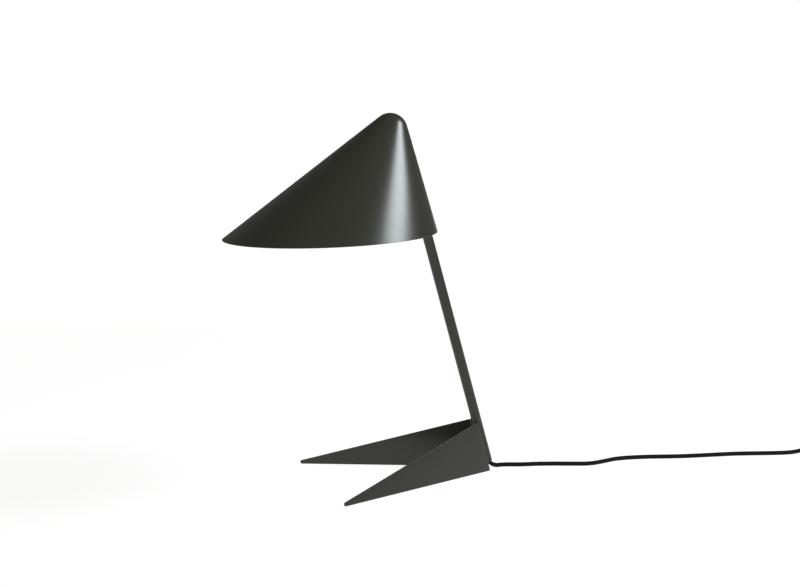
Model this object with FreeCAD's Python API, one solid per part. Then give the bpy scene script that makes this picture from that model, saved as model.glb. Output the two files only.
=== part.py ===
"""Desk lamp: a trimmed cone shade on a leaning stem, which stands on a folded sheet base with two pointed fins.

Millimetres, +Z up. The lamp faces -X and is symmetric about Y = 0. The origin is on the floor, at the middle
of the lamp's own length and width, without its cord.
"""

import FreeCAD, Part
import os
from math import acos, atan2, cos, degrees, pi, radians, sin, sqrt, tan

Vec = FreeCAD.Vector

# ---- base: one folded steel sheet
sheet_thickness = 2.0
web_width = 21.8          # over the two outer bend lines
web_height = 63.3         # along the stem, from the floor
fin_length = 239.9        # floor line of a fin, from the bend line to its sharp tip
fin_splay = 21.9          # degrees that each fin stands away from the plane of symmetry
bend_radius = 4.0         # outside of the fold
fin_tip_radius = 2.2
edge_break = 0.35         # softened sheet edges

# ---- stem: a round tube let into a slot in the web and welded there
stem_lean = 15.75         # degrees forward of upright
stem_diameter = 12.0
stem_wall = 1.0
stem_setback = 2.4        # tube axis behind the outer face of the web
stem_foot = 9.5           # lower end of the tube, measured along its axis from the floor line
slot_clearance = 0.05
weld_radius = 1.7
weld_end_gap = 2.5

# ---- side hole near the top of the tube, with its rubber ring
lead_hole_drop = 30.0     # below the pivot
lead_hole_radius = 3.0
grommet_rim = 4.0
grommet_bore = 2.1
grommet_lip = 0.8

# ---- shade: a round cone with a rounded tip, cut off by a nearly level plane
shade_height = 443.8      # sharp apex above the floor
shade_half_angle = 34.2
shade_tilt = 19.0         # degrees that the cone's axis leans forward as it goes down
shade_drop = 148.8        # sharp apex down to the rim plane
rim_slope = 1.75          # degrees that the rim falls towards the front
shade_wall = 1.2
shade_tip_radius = 20.2
stem_gap = 1.22           # tube to the inside of the shade, at the back of the rim

# ---- friction knuckle between stem and shade
screw_on_wall = 49.0      # back screw, from the sharp apex along the back of the cone
tongue_width = 6.0
tongue_radius = 6.0
friction_washer = 0.6
friction_washer_inset = 0.6
fork_width = 13.0         # side to side
fork_below = 12.0         # pivot down to the shoulder that sits on the tube
fork_slot_below = 7.5
fork_corner_radius = 2.0
spigot_length = 14.0
spigot_clearance = 0.05
pivot_diameter = 4.0
pivot_clearance = 0.1
pivot_head_radius = 3.5
pivot_head_height = 2.6
pivot_head_slot = 1.0     # width of the screwdriver slot
pivot_slot_depth = 1.1
pivot_tail = 4.4          # thread beyond the spring washer
pivot_nut_flats = 7.0
pivot_nut_height = 3.2
flat_washer = 0.8
flat_washer_radius = 4.3
spring_washer = 1.0
spring_washer_radius = 3.6
spring_washer_split = 0.8
pad_height = 15.0
pad_width = 13.0
pad_clearance = 0.5       # fork to pad
arm_height = 8.0
boss_diameter = 16.0

# ---- screw through the back of the shade into the knuckle
back_screw_diameter = 4.0
back_screw_tip = 3.2      # end of the screw, from the pivot
back_screw_socket = 2.5   # across the flats
back_socket_depth = 1.8
back_head_height = 0.8    # an extra-low head
back_washer_height = 0.25
back_washer_radius = 3.9
back_hole_clearance = 0.2

# ---- threaded nipple that carries the lamp holder
nipple_diameter = 10.0
nipple_bore = 7.0
nipple_clearance = 0.1
nipple_proud = 1.5        # above the lock nut
nipple_in_holder = 6.0
lock_nut_height = 3.6
lock_nut_flats = 14.0
holder_washer_radius = 8.0

# ---- lamp holder and bulb, on the axis of the shade
holder_diameter = 26.0
holder_wall = 1.5
holder_cap_length = 15.0
holder_skirt_length = 29.0
core_inset = 1.5          # insulator below the joint of the holder's two halves
core_height = 7.0
terminal_radius = 2.1
terminal_length = 3.2
cap_diameter = 13.9       # screw cap of the bulb
cap_length = 20.0
socket_clearance = 0.15
socket_wall = 0.4
thread_pitch = 2.8
thread_ridges = 5
contact_gap = 1.2         # bulb tip below the insulator
contact_height = 2.6
collar_length = 13.0
bulb_diameter = 45.0
bulb_length = 75.0
bulb_wall = 0.9
light_source_count = 8

# ---- cord and its bush
cord_diameter = 5.2
lead_diameter = 1.8
lead_gap = 1.05           # lead from the middle of the tube
lead_spread = 4.9         # lead from the middle where the two pass the knuckle's arm
lead_bend_radius = 6.0
sheath_drop = 52.0        # the cord's sheath ends this far below the pivot
cord_inner_start = 18.0   # where the cord that lies outside begins, inside the foot of the tube
bush_wall = 0.7
bush_lip = 0.8
bush_length = 9.0

# ---- switch on the cord
switch_length = 60.0
switch_width = 26.0
switch_height = 17.0
switch_wall = 1.6
switch_corner_radius = 9.0
switch_top_radius = 3.0
switch_axis_height = 7.6  # cord axis above the floor
switch_post_radius = 2.6
switch_screw_radius = 1.2
switch_screw_head = 2.3
switch_screw_offset = (17.5, -7.5)
rocker_length = 15.0
rocker_width = 10.0
rocker_clearance = 0.35
rocker_angle = 9.0
rocker_pivot_drop = 4.6   # pin below the top of the switch
rocker_dish_radius = 26.0
rocker_waist = 3.4        # pin up to the bottom of the dish
rocker_pin_radius = 1.0
rocker_pin_clearance = 0.05
relief_length = 24.0
relief_grip = 8.6         # diameter at the housing
relief_tail = 6.6         # diameter at the free end
relief_rings = 4
relief_groove = 0.8
relief_groove_depth = 0.45

# ---- flat two-pin plug
plug_length = 36.0
plug_width = 26.0
plug_neck_width = 13.0
plug_height = 13.6
plug_shoulder = 0.45      # share of the length that keeps the full width
plug_corner_radius = 4.0
plug_edge_radius = 2.4
pin_diameter = 4.0
pin_length = 19.0
pin_spacing = 18.6
pin_depth = 8.0           # pin inside the plug
pin_core_radius = 1.4
pin_sleeve_diameter = 3.8
pin_sleeve_length = 10.0

# ---- the cord's way along the floor, by hand, in the lamp's frame
floor_route = [
    (167.6, 0.2), (177.0, 1.2), (186.5, -1.6), (199.0, -6.4), (217.0, -9.2), (238.0, -15.4), (259.5, -23.4),
    (279.5, -30.2), (299.0, -26.2), (319.0, -19.4), (341.0, -20.4), (366.0, -25.2), (398.0, -35.0), (434.0, -41.2),
    (473.0, -46.4), (510.0, -57.4), (545.0, -66.0),
]
coil_entry_points = [(703.0, -94.0), (722.0, -100.4), (741.0, -102.4)]
plug_entry_points = [
    (777.4, -66.0, 7.8), (777.8, -52.0, 7.8), (776.4, -37.0, 5.8), (771.2, -22.5, 4.0), (761.0, -10.5, 4.4),
    (748.0, -5.0, 6.2),
]
switch_heading = -9.0     # degrees from +X
switch_start = (575.0, -70.0)
coil_centre = (741.0, -66.0)
coil_turns_across = 3
coil_layers = 2
coil_middle_radius = 31.2
plug_place = (679.0, 0.0)
plug_heading = -4.0


# ---------------------------------------------------------------- geometry helpers

def frame(origin, x_axis, z_axis):
    """A placement whose own X and Z axes lie along the two given directions."""
    x_unit, z_unit = Vec(*x_axis).normalize(), Vec(*z_axis).normalize()
    turn = FreeCAD.Rotation(x_unit, z_unit.cross(x_unit), z_unit, "ZXY")
    return FreeCAD.Placement(origin, turn)


def placed(shape, placement):
    """A copy of the shape moved from its own frame to where the placement puts it."""
    copy = shape.copy()
    copy.transformShape(placement.toMatrix(), True)
    return copy


def rod(radius, start, length, axis=Vec(0, 0, 1)):
    return Part.makeCylinder(radius, length, start, axis)


def tube(outer, inner, start, length, axis=Vec(0, 0, 1)):
    """A ring or sleeve of two radii."""
    return rod(outer, start, length, axis).cut(rod(inner, start, length, axis))


def block(x_range, y_range, z_range):
    size = [high - low for low, high in (x_range, y_range, z_range)]
    return Part.makeBox(*size, Vec(x_range[0], y_range[0], z_range[0]))


def turned(outline):
    """A solid turned about Z from a closed outline of (radius, height) points."""
    points = [Vec(radius, 0, height) for radius, height in outline]
    face = Part.Face(Part.makePolygon(points + points[:1]))
    return face.revolve(Vec(0, 0, 0), Vec(0, 0, 1), 360)


def hex_bar(flats, start, length, axis=Vec(0, 0, 1)):
    """A hexagonal prism along the axis."""
    corner = flats / sqrt(3)
    points = [Vec(corner * cos(k * pi / 3), corner * sin(k * pi / 3), 0) for k in range(6)]
    prism = Part.Face(Part.makePolygon(points + points[:1])).extrude(Vec(0, 0, length))
    prism.Placement = FreeCAD.Placement(start, FreeCAD.Rotation(Vec(0, 0, 1), axis))
    return placed(prism, FreeCAD.Placement())


def turn_at(before, point, after):
    """The angle by which a path turns at a point."""
    arriving, leaving = (point - before).normalize(), (after - point).normalize()
    return acos(max(-1.0, min(1.0, arriving.dot(leaving))))


def rounded_path(points, radii):
    """Straight runs joined by tangent arcs, one radius for each inner point."""
    edges, start = [], points[0]
    for index in range(1, len(points) - 1):
        before, point, after = points[index - 1], points[index], points[index + 1]
        half = turn_at(before, point, after) / 2
        radius = radii[index - 1]
        arriving, leaving = (point - before).normalize(), (after - point).normalize()
        entry = point - arriving * radius * tan(half)
        leave = point + leaving * radius * tan(half)
        inward = (leaving - arriving).normalize()
        middle = point + inward * radius * (1 / cos(half) - 1)
        edges += [Part.LineSegment(start, entry).toShape(), Part.Arc(entry, middle, leave).toShape()]
        start = leave
    return edges + [Part.LineSegment(start, points[-1]).toShape()]


def swept(points, radii, diameter, label=""):
    """A round bar swept along a rounded path, with its volume checked."""
    path = Part.Wire(rounded_path(points, radii))
    ring = Part.Wire(Part.makeCircle(diameter / 2, points[0], points[1] - points[0]))
    solid = path.makePipeShell([ring], True, False)
    section = pi * diameter**2 / 4
    if label:
        print(f"{label}: length {path.Length:.1f}, volume ratio {solid.Volume / section / path.Length:.4f}")
    return solid


def cord_solid(points, label):
    """A stretch of cord, each arc as large as its two runs allow."""
    radii = []
    for before, point, after in zip(points, points[1:], points[2:]):
        shorter = min((point - before).Length, (after - point).Length)
        radii.append(0.45 * shorter / tan(turn_at(before, point, after) / 2))
    print(f"{label}: radii", [round(radius, 1) for radius in radii])
    return swept(points, radii, cord_diameter, label)


# ---------------------------------------------------------------- frames

cord_radius = cord_diameter / 2
lean = radians(stem_lean)
stem_up = Vec(-sin(lean), 0, cos(lean))
stem_back = Vec(cos(lean), 0, sin(lean))
stem_radius = stem_diameter / 2
stem_bore_radius = stem_radius - stem_wall

tilt = radians(shade_tilt)
cone = radians(shade_half_angle)
slope = radians(rim_slope)
shade_down = Vec(-sin(tilt), 0, -cos(tilt))
shade_back = Vec(cos(tilt), 0, -sin(tilt))

wall_down = Vec(sin(cone - tilt), 0, -cos(cone - tilt))
wall_out = Vec(cos(cone - tilt), 0, sin(cone - tilt))
back_run = shade_drop / (cos(cone - tilt) + sin(cone - tilt) * tan(slope))
front_run = shade_drop / (cos(cone + tilt) - sin(cone + tilt) * tan(slope))
back_rim = wall_down * back_run - wall_out * shade_wall + Vec(0, 0, shade_height)
back_rim_reach = stem_radius + stem_gap + stem_setback - back_rim.dot(stem_back)
shade_apex_x = back_rim_reach / cos(lean)     # from the foot of the web
rim_front_x = shade_apex_x - front_run * sin(cone + tilt)
foot_axis = stem_back * stem_setback + stem_up * stem_foot
foot_back_x = foot_axis.x + stem_radius * cos(lean) + bush_lip * sin(lean)
web_x = -(rim_front_x + foot_back_x) / 2

web_foot = Vec(web_x, 0, 0)
stem_origin = web_foot + stem_back * stem_setback
apex = Vec(web_x + shade_apex_x, 0, shade_height)
stem_frame = frame(stem_origin, stem_back, stem_up)
shade_frame = frame(apex, shade_back, shade_down)

fork_depth = stem_diameter    # fore and aft, flush with the tube
screw_point = apex + wall_down * screw_on_wall
wall_to_pivot = (screw_point - stem_origin).dot(stem_back) / wall_out.dot(stem_back)
pivot = screw_point - wall_out * wall_to_pivot
pivot_height = (pivot - stem_origin).dot(stem_up)
pivot_down = (pivot - apex).dot(shade_down)
pivot_behind = (pivot - apex).dot(shade_back)
knuckle_frame = frame(pivot, wall_out, wall_down * -1)


# ---------------------------------------------------------------- base and stem

def base_sheet():
    """The web and both fins: one bent strip along the stem, trimmed to the fins' edges and to the floor."""
    splay = radians(fin_splay)
    section_splay = atan2(sin(splay), cos(splay) * cos(lean))
    reach = fin_length * 1.2
    half_turn = (pi / 2 - section_splay) / 2
    inner_half = web_width / 2 - sheet_thickness * tan(half_turn)

    def strip_line(offset, half, radius, backwards):
        points = []
        for side in (-1, 1):
            corner = Vec(-stem_setback - offset, side * half, 0)
            far = corner + Vec(-cos(section_splay), side * sin(section_splay), 0) * reach
            points += [far, corner] if side < 0 else [corner, far]
        if backwards:
            points.reverse()
        return points, rounded_path(points, [radius, radius])

    outer, outer_edges = strip_line(0, web_width / 2, bend_radius, False)
    inner, inner_edges = strip_line(sheet_thickness, inner_half, bend_radius - sheet_thickness, True)
    ends = [Part.LineSegment(outer[-1], inner[0]).toShape(), Part.LineSegment(inner[-1], outer[0]).toShape()]
    profile = Part.Face(Part.Wire(outer_edges + ends[:1] + inner_edges + ends[1:]))
    below = 2 * fin_length * sin(lean)
    profile.translate(Vec(0, 0, -below))
    sheet = placed(profile.extrude(Vec(0, 0, below + web_height)), stem_frame)
    size = 3 * fin_length
    sheet = sheet.cut(block((-size, size), (-size, size), (-size, 0)))
    tips = []
    for side in (-1, 1):
        along_floor = Vec(-cos(splay), side * sin(splay), 0)
        corner = web_foot + Vec(0, side * web_width / 2, 0)
        tip, top = corner + along_floor * fin_length, corner + stem_up * web_height
        across = stem_up.cross(along_floor).normalize() * side
        edge = (tip - top).normalize()
        above = block((-size, size), (-size, size), (0, size))
        sheet = sheet.cut(placed(above, frame(top, edge, across.cross(edge) * -side)))
        tips.append(tip)
    slot = rod(stem_radius + slot_clearance, Vec(0, 0, stem_foot - bush_lip - slot_clearance), web_height * 2)
    sheet = sheet.cut(placed(slot, stem_frame))
    points = [edge for edge in sheet.Edges if min(edge.distToShape(Part.Vertex(tip))[0] for tip in tips) < 3
              and edge.Length < 2 * sheet_thickness]
    sheet = sheet.makeFillet(fin_tip_radius, points)
    rims = [edge for edge in sheet.Edges if edge.Length > fin_length / 2 and edge.BoundBox.ZMax > sheet_thickness]
    return sheet.makeFillet(edge_break, rims)


def stem_tube():
    """The round tube, with a side hole near its top for the two leads."""
    length = pivot_height - fork_below - stem_foot
    body = tube(stem_radius, stem_bore_radius, Vec(0, 0, stem_foot), length)
    return placed(body.cut(lead_hole(lead_hole_radius)), stem_frame)


def lead_hole(radius):
    """A round bar through the front of the tube, where its side hole is."""
    return rod(radius, Vec(0, 0, pivot_height - lead_hole_drop), stem_diameter, Vec(-1, 0, 0))


def lead_grommet():
    """A small rubber ring in the side hole, cut to lie on the tube inside and out."""
    wall = tube(stem_radius + grommet_lip, stem_bore_radius - grommet_lip, Vec(0, 0, 0), pivot_height)
    body = tube(stem_radius, stem_bore_radius, Vec(0, 0, 0), pivot_height)
    rims = lead_hole(grommet_rim).common(wall).cut(body)
    ring = rims.fuse(lead_hole(lead_hole_radius).common(wall)).removeSplitter()
    return placed(ring.cut(lead_hole(grommet_bore)), stem_frame)


def weld_beads(sheet, stem):
    """Two beads that run down the corners between the tube and the outer face of the web."""
    corner = sqrt((stem_radius + slot_clearance)**2 - stem_setback**2)
    start, length = stem_foot + weld_end_gap, web_height - stem_foot - 2 * weld_end_gap
    beads = []
    for side in (-1, 1):
        bead = rod(weld_radius, Vec(-stem_setback, side * corner, start), length)
        bead = placed(bead, stem_frame).cut(sheet).cut(stem)
        bead = max(bead.Solids, key=lambda solid: solid.CenterOfMass.x)
        beads.append(bead)
    return Part.makeCompound(beads)


def cord_bush():
    """A thin lined bush in the open lower end of the tube."""
    outer, inner = stem_bore_radius, stem_bore_radius - bush_wall
    chamfer = 0.4 * bush_lip
    outline = [(inner, -bush_lip), (stem_radius - chamfer, -bush_lip), (stem_radius, -bush_lip + chamfer),
               (stem_radius, 0), (outer, 0), (outer, bush_length), (inner, bush_length)]
    bush = turned(outline)
    bush.translate(Vec(0, 0, stem_foot))
    return placed(bush, stem_frame)


# ---------------------------------------------------------------- knuckle

def fork():
    """The milled head on the stem: a spigot in the tube and two cheeks around the shade's tongue."""
    body = block((-fork_depth / 2, fork_depth / 2), (-fork_width / 2, fork_width / 2), (-fork_below, 0))
    corners = [edge for edge in body.Edges if abs(edge.tangentAt(edge.FirstParameter).z) > 0.9]
    body = body.makeFillet(fork_corner_radius, corners)
    crown = rod(fork_depth / 2, Vec(0, -fork_width / 2, 0), fork_width, Vec(0, 1, 0))
    crown = crown.common(block((-fork_depth, fork_depth), (-fork_width, fork_width), (-0.01, fork_depth)))
    body = body.fuse(crown).removeSplitter()
    spigot = rod(stem_bore_radius - spigot_clearance, Vec(0, 0, -fork_below - spigot_length), spigot_length)
    body = body.fuse(spigot)
    gap = tongue_width / 2 + friction_washer
    body = body.cut(block((-fork_depth, fork_depth), (-gap, gap), (-fork_slot_below, fork_depth)))
    body = body.cut(rod(pivot_diameter / 2 + pivot_clearance, Vec(0, -fork_width, 0), 2 * fork_width, Vec(0, 1, 0)))
    body.translate(Vec(0, 0, pivot_height))
    return placed(body, stem_frame)


def cone_solid(inset):
    """The rounded cone, moved in by the inset, from its tip down past the rim."""
    tip_radius = shade_tip_radius - inset
    start = inset / sin(cone)
    centre = start + tip_radius / sin(cone)
    far = 2.2 * shade_drop / cos(tilt + cone)
    touch_down, touch_out = centre - tip_radius * sin(cone), tip_radius * cos(cone)
    top = Vec(0, 0, centre - tip_radius)
    bend = Vec(tip_radius * cos((pi / 2 + cone) / 2), 0, centre - tip_radius * sin((pi / 2 + cone) / 2))
    touch = Vec(touch_out, 0, touch_down)
    end = Vec((far - start) * tan(cone), 0, far)
    edges = [Part.Arc(top, bend, touch).toShape(), Part.LineSegment(touch, end).toShape(),
             Part.LineSegment(end, Vec(0, 0, far)).toShape(), Part.LineSegment(Vec(0, 0, far), top).toShape()]
    return Part.Face(Part.Wire(edges)).revolve(Vec(0, 0, 0), Vec(0, 0, 1), 360)


def knuckle_eye():
    """The shade's half of the knuckle: tongue, pad against the wall, and the arm with the lamp holder's boss."""
    half = tongue_width / 2
    wide = Vec(0, 1, 0)
    tongue = rod(tongue_radius, Vec(0, -half, 0), tongue_width, wide)
    pad_near = fork_depth / 2 + pad_clearance
    neck = block((0, pad_near + 1), (-half, half), (-arm_height / 2, arm_height / 2))
    pad = block((pad_near, wall_to_pivot + 5), (-pad_width / 2, pad_width / 2), (-pad_height / 2, pad_height / 2))
    flange = placed(tongue.fuse(neck).fuse(pad), knuckle_frame)
    flange = flange.common(placed(cone_solid(shade_wall), shade_frame))
    arm = block((0, pivot_behind), (-half, half), (pivot_down - arm_height / 2, pivot_down + arm_height / 2))
    boss = rod(boss_diameter / 2, Vec(0, 0, pivot_down - arm_height / 2), arm_height)
    eye = flange.fuse(placed(arm.fuse(boss), shade_frame)).removeSplitter()
    hole = rod(nipple_diameter / 2 + nipple_clearance, Vec(0, 0, 0), 2 * pivot_down)
    eye = eye.cut(placed(hole, shade_frame))
    thread = rod(back_screw_diameter / 2, Vec(back_screw_tip, 0, 0), wall_to_pivot, Vec(1, 0, 0))
    bolt_hole = rod(pivot_diameter / 2 + pivot_clearance, Vec(0, -tongue_width, 0), 2 * tongue_width, wide)
    return eye.cut(placed(thread.fuse(bolt_hole), knuckle_frame))


def back_screw():
    """The low-head screw through the back of the shade, with a hexagon socket."""
    radius = back_screw_diameter / 2
    seat = wall_to_pivot + back_washer_height
    head_radius, head_height = 0.95 * back_screw_diameter, back_head_height
    outline = [(0, back_screw_tip), (radius, back_screw_tip), (radius, seat), (head_radius, seat),
               (head_radius, seat + 0.3 * head_height), (0.8 * head_radius, seat + 0.75 * head_height),
               (0.5 * head_radius, seat + head_height), (0, seat + head_height)]
    socket_floor = Vec(0, 0, seat + head_height - back_socket_depth)
    screw = turned(outline).cut(hex_bar(back_screw_socket, socket_floor, 2 * back_socket_depth))
    turn = FreeCAD.Placement(Vec(0, 0, 0), FreeCAD.Rotation(Vec(0, 0, 1), Vec(1, 0, 0)))
    return placed(placed(screw, turn), knuckle_frame)


def back_washer():
    """A thin washer under the back screw's head, dished to the shade."""
    bore = back_screw_diameter / 2 + back_hole_clearance / 2
    start = wall_to_pivot - shade_wall
    ring = tube(back_washer_radius, bore, Vec(start, 0, 0), shade_wall + back_washer_height, Vec(1, 0, 0))
    return placed(ring, knuckle_frame).cut(placed(cone_solid(0), shade_frame))


def pivot_bolt():
    """The cheese-head bolt that carries the shade."""
    seat = fork_width / 2 + flat_washer
    end = -seat - pivot_head_height
    half_slot = pivot_head_slot / 2
    shank = rod(pivot_diameter / 2, Vec(0, -seat, 0), 2 * seat + spring_washer + pivot_tail, Vec(0, 1, 0))
    head = rod(pivot_head_radius, Vec(0, end, 0), pivot_head_height, Vec(0, 1, 0))
    slot = block((-fork_depth, fork_depth), (end - 1, end + pivot_slot_depth), (-half_slot, half_slot))
    body = shank.fuse(head).removeSplitter().cut(slot)
    body.translate(Vec(0, 0, pivot_height))
    return placed(body, stem_frame)


def pivot_nut():
    """The hexagon nut on the other end of the bolt."""
    start = fork_width / 2 + flat_washer + spring_washer
    nut = hex_bar(pivot_nut_flats, Vec(0, start, 0), pivot_nut_height, Vec(0, 1, 0))
    nut = nut.cut(rod(pivot_diameter / 2, Vec(0, 0, 0), 4 * start, Vec(0, 1, 0)))
    nut.translate(Vec(0, 0, pivot_height))
    return placed(nut, stem_frame)


def side_rings(outer, inner, thickness, starts):
    """Washers on the pivot, each starting at its own distance from the plane of symmetry."""
    rings = [tube(outer, inner, Vec(0, start, pivot_height), thickness, Vec(0, 1, 0)) for start in starts]
    return placed(Part.makeCompound(rings), stem_frame)


def flat_washers():
    """One washer outside each cheek."""
    half, bore = fork_width / 2, pivot_diameter / 2 + pivot_clearance
    return side_rings(flat_washer_radius, bore, flat_washer, [-half - flat_washer, half])


def friction_washers():
    """One fibre washer each side of the tongue."""
    half, bore = tongue_width / 2, pivot_diameter / 2 + pivot_clearance
    return side_rings(tongue_radius - friction_washer_inset, bore, friction_washer, [-half - friction_washer, half])


def spring_ring():
    """A split spring washer under the nut."""
    start = fork_width / 2 + flat_washer
    outer, bore, half_split = spring_washer_radius, pivot_diameter / 2 + pivot_clearance, spring_washer_split / 2
    ring = tube(outer, bore, Vec(0, start, 0), spring_washer, Vec(0, 1, 0))
    ring = ring.cut(block((bore - 0.5, outer + 0.5), (0, 2 * start), (-half_split, half_split)))
    ring.translate(Vec(0, 0, pivot_height))
    return placed(ring, stem_frame)


# ---------------------------------------------------------------- shade

def shade_shell():
    """The spun cone, trimmed by the rim plane, with the back screw's hole."""
    shell = placed(cone_solid(0).cut(cone_solid(shade_wall)), shade_frame)
    size = 4 * shade_drop
    below = block((-size, size), (-size, size), (-size, 0))
    rim_turn = FreeCAD.Rotation(Vec(0, 1, 0), -rim_slope)
    below = placed(below, FreeCAD.Placement(apex - Vec(0, 0, shade_drop), rim_turn))
    shell = shell.cut(below)
    rims = [edge for edge in shell.Edges if edge.Length > 2 * shade_drop]
    shell = shell.makeFillet(0.3 * shade_wall, rims)
    hole = rod(back_screw_diameter / 2 + back_hole_clearance, Vec(0, 0, 0), 2 * wall_to_pivot, Vec(1, 0, 0))
    return shell.cut(placed(hole, knuckle_frame))


# ---------------------------------------------------------------- lamp holder and bulb

boss_low = pivot_down + arm_height / 2
holder_top = boss_low + spring_washer
skirt_top = holder_top + holder_cap_length
skirt_low = skirt_top + holder_skirt_length
holder_radius = holder_diameter / 2
core_top = skirt_top + core_inset
core_low = core_top + core_height
core_radius = holder_radius - holder_wall
terminal_offset = 0.62 * core_radius
nipple_top = boss_low - arm_height - lock_nut_height - nipple_proud
socket_radius = cap_diameter / 2 + socket_clearance
bulb_start = core_low + contact_gap
cap_low = bulb_start + contact_height + cap_length
cap_radius = cap_diameter / 2 - 0.5   # between the thread's ridges
cap_wall = 0.35
bulb_radius = bulb_diameter / 2
bulb_centre = bulb_start + bulb_length - bulb_radius
collar_low = cap_low + collar_length
collar_radius = sqrt(bulb_radius**2 - (bulb_centre - collar_low)**2)


def in_shade(shape):
    """Moves a shape from the cone's own frame to where the shade is."""
    return placed(shape, shade_frame)


def holder_nipple():
    """The threaded tube through the knuckle's boss."""
    length = holder_top + nipple_in_holder - nipple_top
    return in_shade(tube(nipple_diameter / 2, nipple_bore / 2, Vec(0, 0, nipple_top), length))


def lock_nut():
    """The flat nut on the boss."""
    nut = hex_bar(lock_nut_flats, Vec(0, 0, boss_low - arm_height - lock_nut_height), lock_nut_height)
    return in_shade(nut.cut(rod(nipple_diameter / 2, Vec(0, 0, 0), 2 * boss_low)))


def holder_washer():
    """The toothed washer under the boss, as a plain ring."""
    bore = nipple_diameter / 2 + nipple_clearance
    return in_shade(tube(holder_washer_radius, bore, Vec(0, 0, boss_low), spring_washer))


def holder_cap():
    """The domed upper half of the lamp holder, screwed on the nipple."""
    neck = nipple_diameter / 2
    out, wall, top, low = holder_radius, holder_wall, holder_top, skirt_top
    outline = [(neck, top), (neck + 3.5, top), (out - 2.5, top + 3.5), (out - 0.6, top + 6.2), (out, top + 9.0),
               (out, low), (out - wall, low), (out - wall, top + 9.4), (out - 3.8, top + 6.2), (neck, top + 6.2)]
    return in_shade(turned(outline))


def holder_skirt():
    """The lower half of the lamp holder: a sleeve with an inner ledge under the insulator and a collar below."""
    out, wall, top, low = holder_radius, holder_wall, skirt_top, skirt_low
    lip = socket_radius + socket_wall + 1.0
    outline = [(out, top), (out, low - 3.0), (out - 1.2, low), (lip, low), (lip, low - 1.6), (out - wall, low - 4.0),
               (out - wall, top)]
    return in_shade(turned(outline))


def holder_core():
    """The ceramic insulator that carries the socket's contacts."""
    body = rod(core_radius, Vec(0, 0, core_top), core_height)
    depth, half_channel = terminal_length + 0.8, 0.7 * terminal_radius
    for side in (-1, 1):
        pocket = Vec(0, side * terminal_offset, core_top)
        body = body.cut(rod(terminal_radius, pocket, depth))
        channel = (pocket.y - half_channel, pocket.y + half_channel)
        body = body.cut(block((-core_radius, 0), channel, (core_top, core_top + 0.6 * depth)))
    return in_shade(body)


def terminal_screws():
    """Two slotted screws that clamp the leads."""
    screws = []
    for side in (-1, 1):
        place = Vec(0, side * terminal_offset, core_top + 0.8)
        screw = rod(terminal_radius, place, terminal_length)
        slot = block((-3, 3), (place.y - 0.35, place.y + 0.35), (core_top, place.z + 0.9))
        screws.append(screw.cut(slot))
    return in_shade(Part.makeCompound(screws))


def socket_shell():
    """The brass screw shell, with a flange against the insulator."""
    inner, outer = socket_radius, socket_radius + socket_wall
    outline = [(inner, core_low), (outer + 1.6, core_low), (outer + 1.6, core_low + 0.5), (outer, core_low + 0.5)]
    ridge_start, ridge = core_low + 3.0, thread_pitch / 2
    for index in range(thread_ridges):
        start = ridge_start + index * thread_pitch
        outline += [(outer, start), (outer + ridge / 4, start + ridge / 2), (outer, start + ridge)]
    low = ridge_start + thread_ridges * thread_pitch
    outline += [(outer, low), (inner, low)]
    return in_shade(turned(outline))


def centre_contact():
    """The sprung tongue under the bulb's tip."""
    strip = block((-4.0, 4.0), (-1.6, 1.6), (core_low, core_low + 0.4))
    rise = block((-1.8, 1.8), (-1.6, 1.6), (core_low + 0.4, bulb_start))
    return in_shade(strip.fuse(rise).removeSplitter())


def bulb_contact():
    """The solder tip of the bulb."""
    outline = [(0, bulb_start), (2.0, bulb_start), (3.4, bulb_start + 0.9), (0, bulb_start + 0.9)]
    return in_shade(turned(outline))


def bulb_insulator():
    """The dark glass ring between the tip contact and the screw cap."""
    start = bulb_start + 0.9
    end = bulb_start + contact_height
    outline = [(0, start), (4.2, start), (cap_radius - 0.4, end), (0, end)]
    return in_shade(turned(outline))


def bulb_cap():
    """The screw cap: a thin shell with rounded thread ridges."""
    outer, crest, start = cap_radius, cap_diameter / 2 - 0.05, bulb_start + contact_height
    outline = [(0, start), (outer - 0.7, start), (outer, start + 1.2)]
    for index in range(thread_ridges):
        ridge = start + 1.6 + index * thread_pitch
        outline += [(outer, ridge), (crest, ridge + 0.7), (crest, ridge + 1.0), (outer, ridge + 1.7)]
    outline += [(outer, cap_low), (outer - cap_wall, cap_low), (outer - cap_wall, start + cap_wall),
                (0, start + cap_wall)]
    return in_shade(turned(outline))


def bulb_collar():
    """The moulded body between the cap and the glass, which flares to meet the glass."""
    inner, wall, bend = cap_radius - cap_wall, 1.4, cap_low + 0.4 * collar_length
    outline = [(inner, cap_low - 3.0), (inner, cap_low), (cap_diameter / 2 - 0.2, cap_low),
               (0.62 * collar_radius, bend), (collar_radius, collar_low), (collar_radius - wall, collar_low),
               (0.62 * collar_radius - wall, bend), (inner - 1.2, cap_low), (inner - 1.2, cap_low - 3.0)]
    return in_shade(turned(outline))


def bulb_glass():
    """The opal globe, a part sphere on the collar."""
    centre = Vec(0, 0, bulb_centre)
    globe = Part.makeSphere(bulb_radius, centre).cut(Part.makeSphere(bulb_radius - bulb_wall, centre))
    size = bulb_diameter
    return in_shade(globe.cut(block((-size, size), (-size, size), (0, collar_low))))


def led_board():
    """The small round board with its light sources, on a ring of the collar."""
    radius, half_chip = collar_radius - 1.8, 1.2
    board = rod(radius, Vec(0, 0, collar_low - 1.4), 1.2)
    for index in range(light_source_count):
        angle = index * 2 * pi / light_source_count
        x, y = 0.62 * radius * cos(angle), 0.62 * radius * sin(angle)
        chip = block((x - half_chip, x + half_chip), (y - half_chip, y + half_chip),
                     (collar_low - 0.2, collar_low + 0.4))
        board = board.fuse(chip)
    return in_shade(board).cut(bulb_collar())


# ---------------------------------------------------------------- wiring inside the lamp

sheath_end = pivot_height - sheath_drop
lead_hole_height = pivot_height - lead_hole_drop


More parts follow.
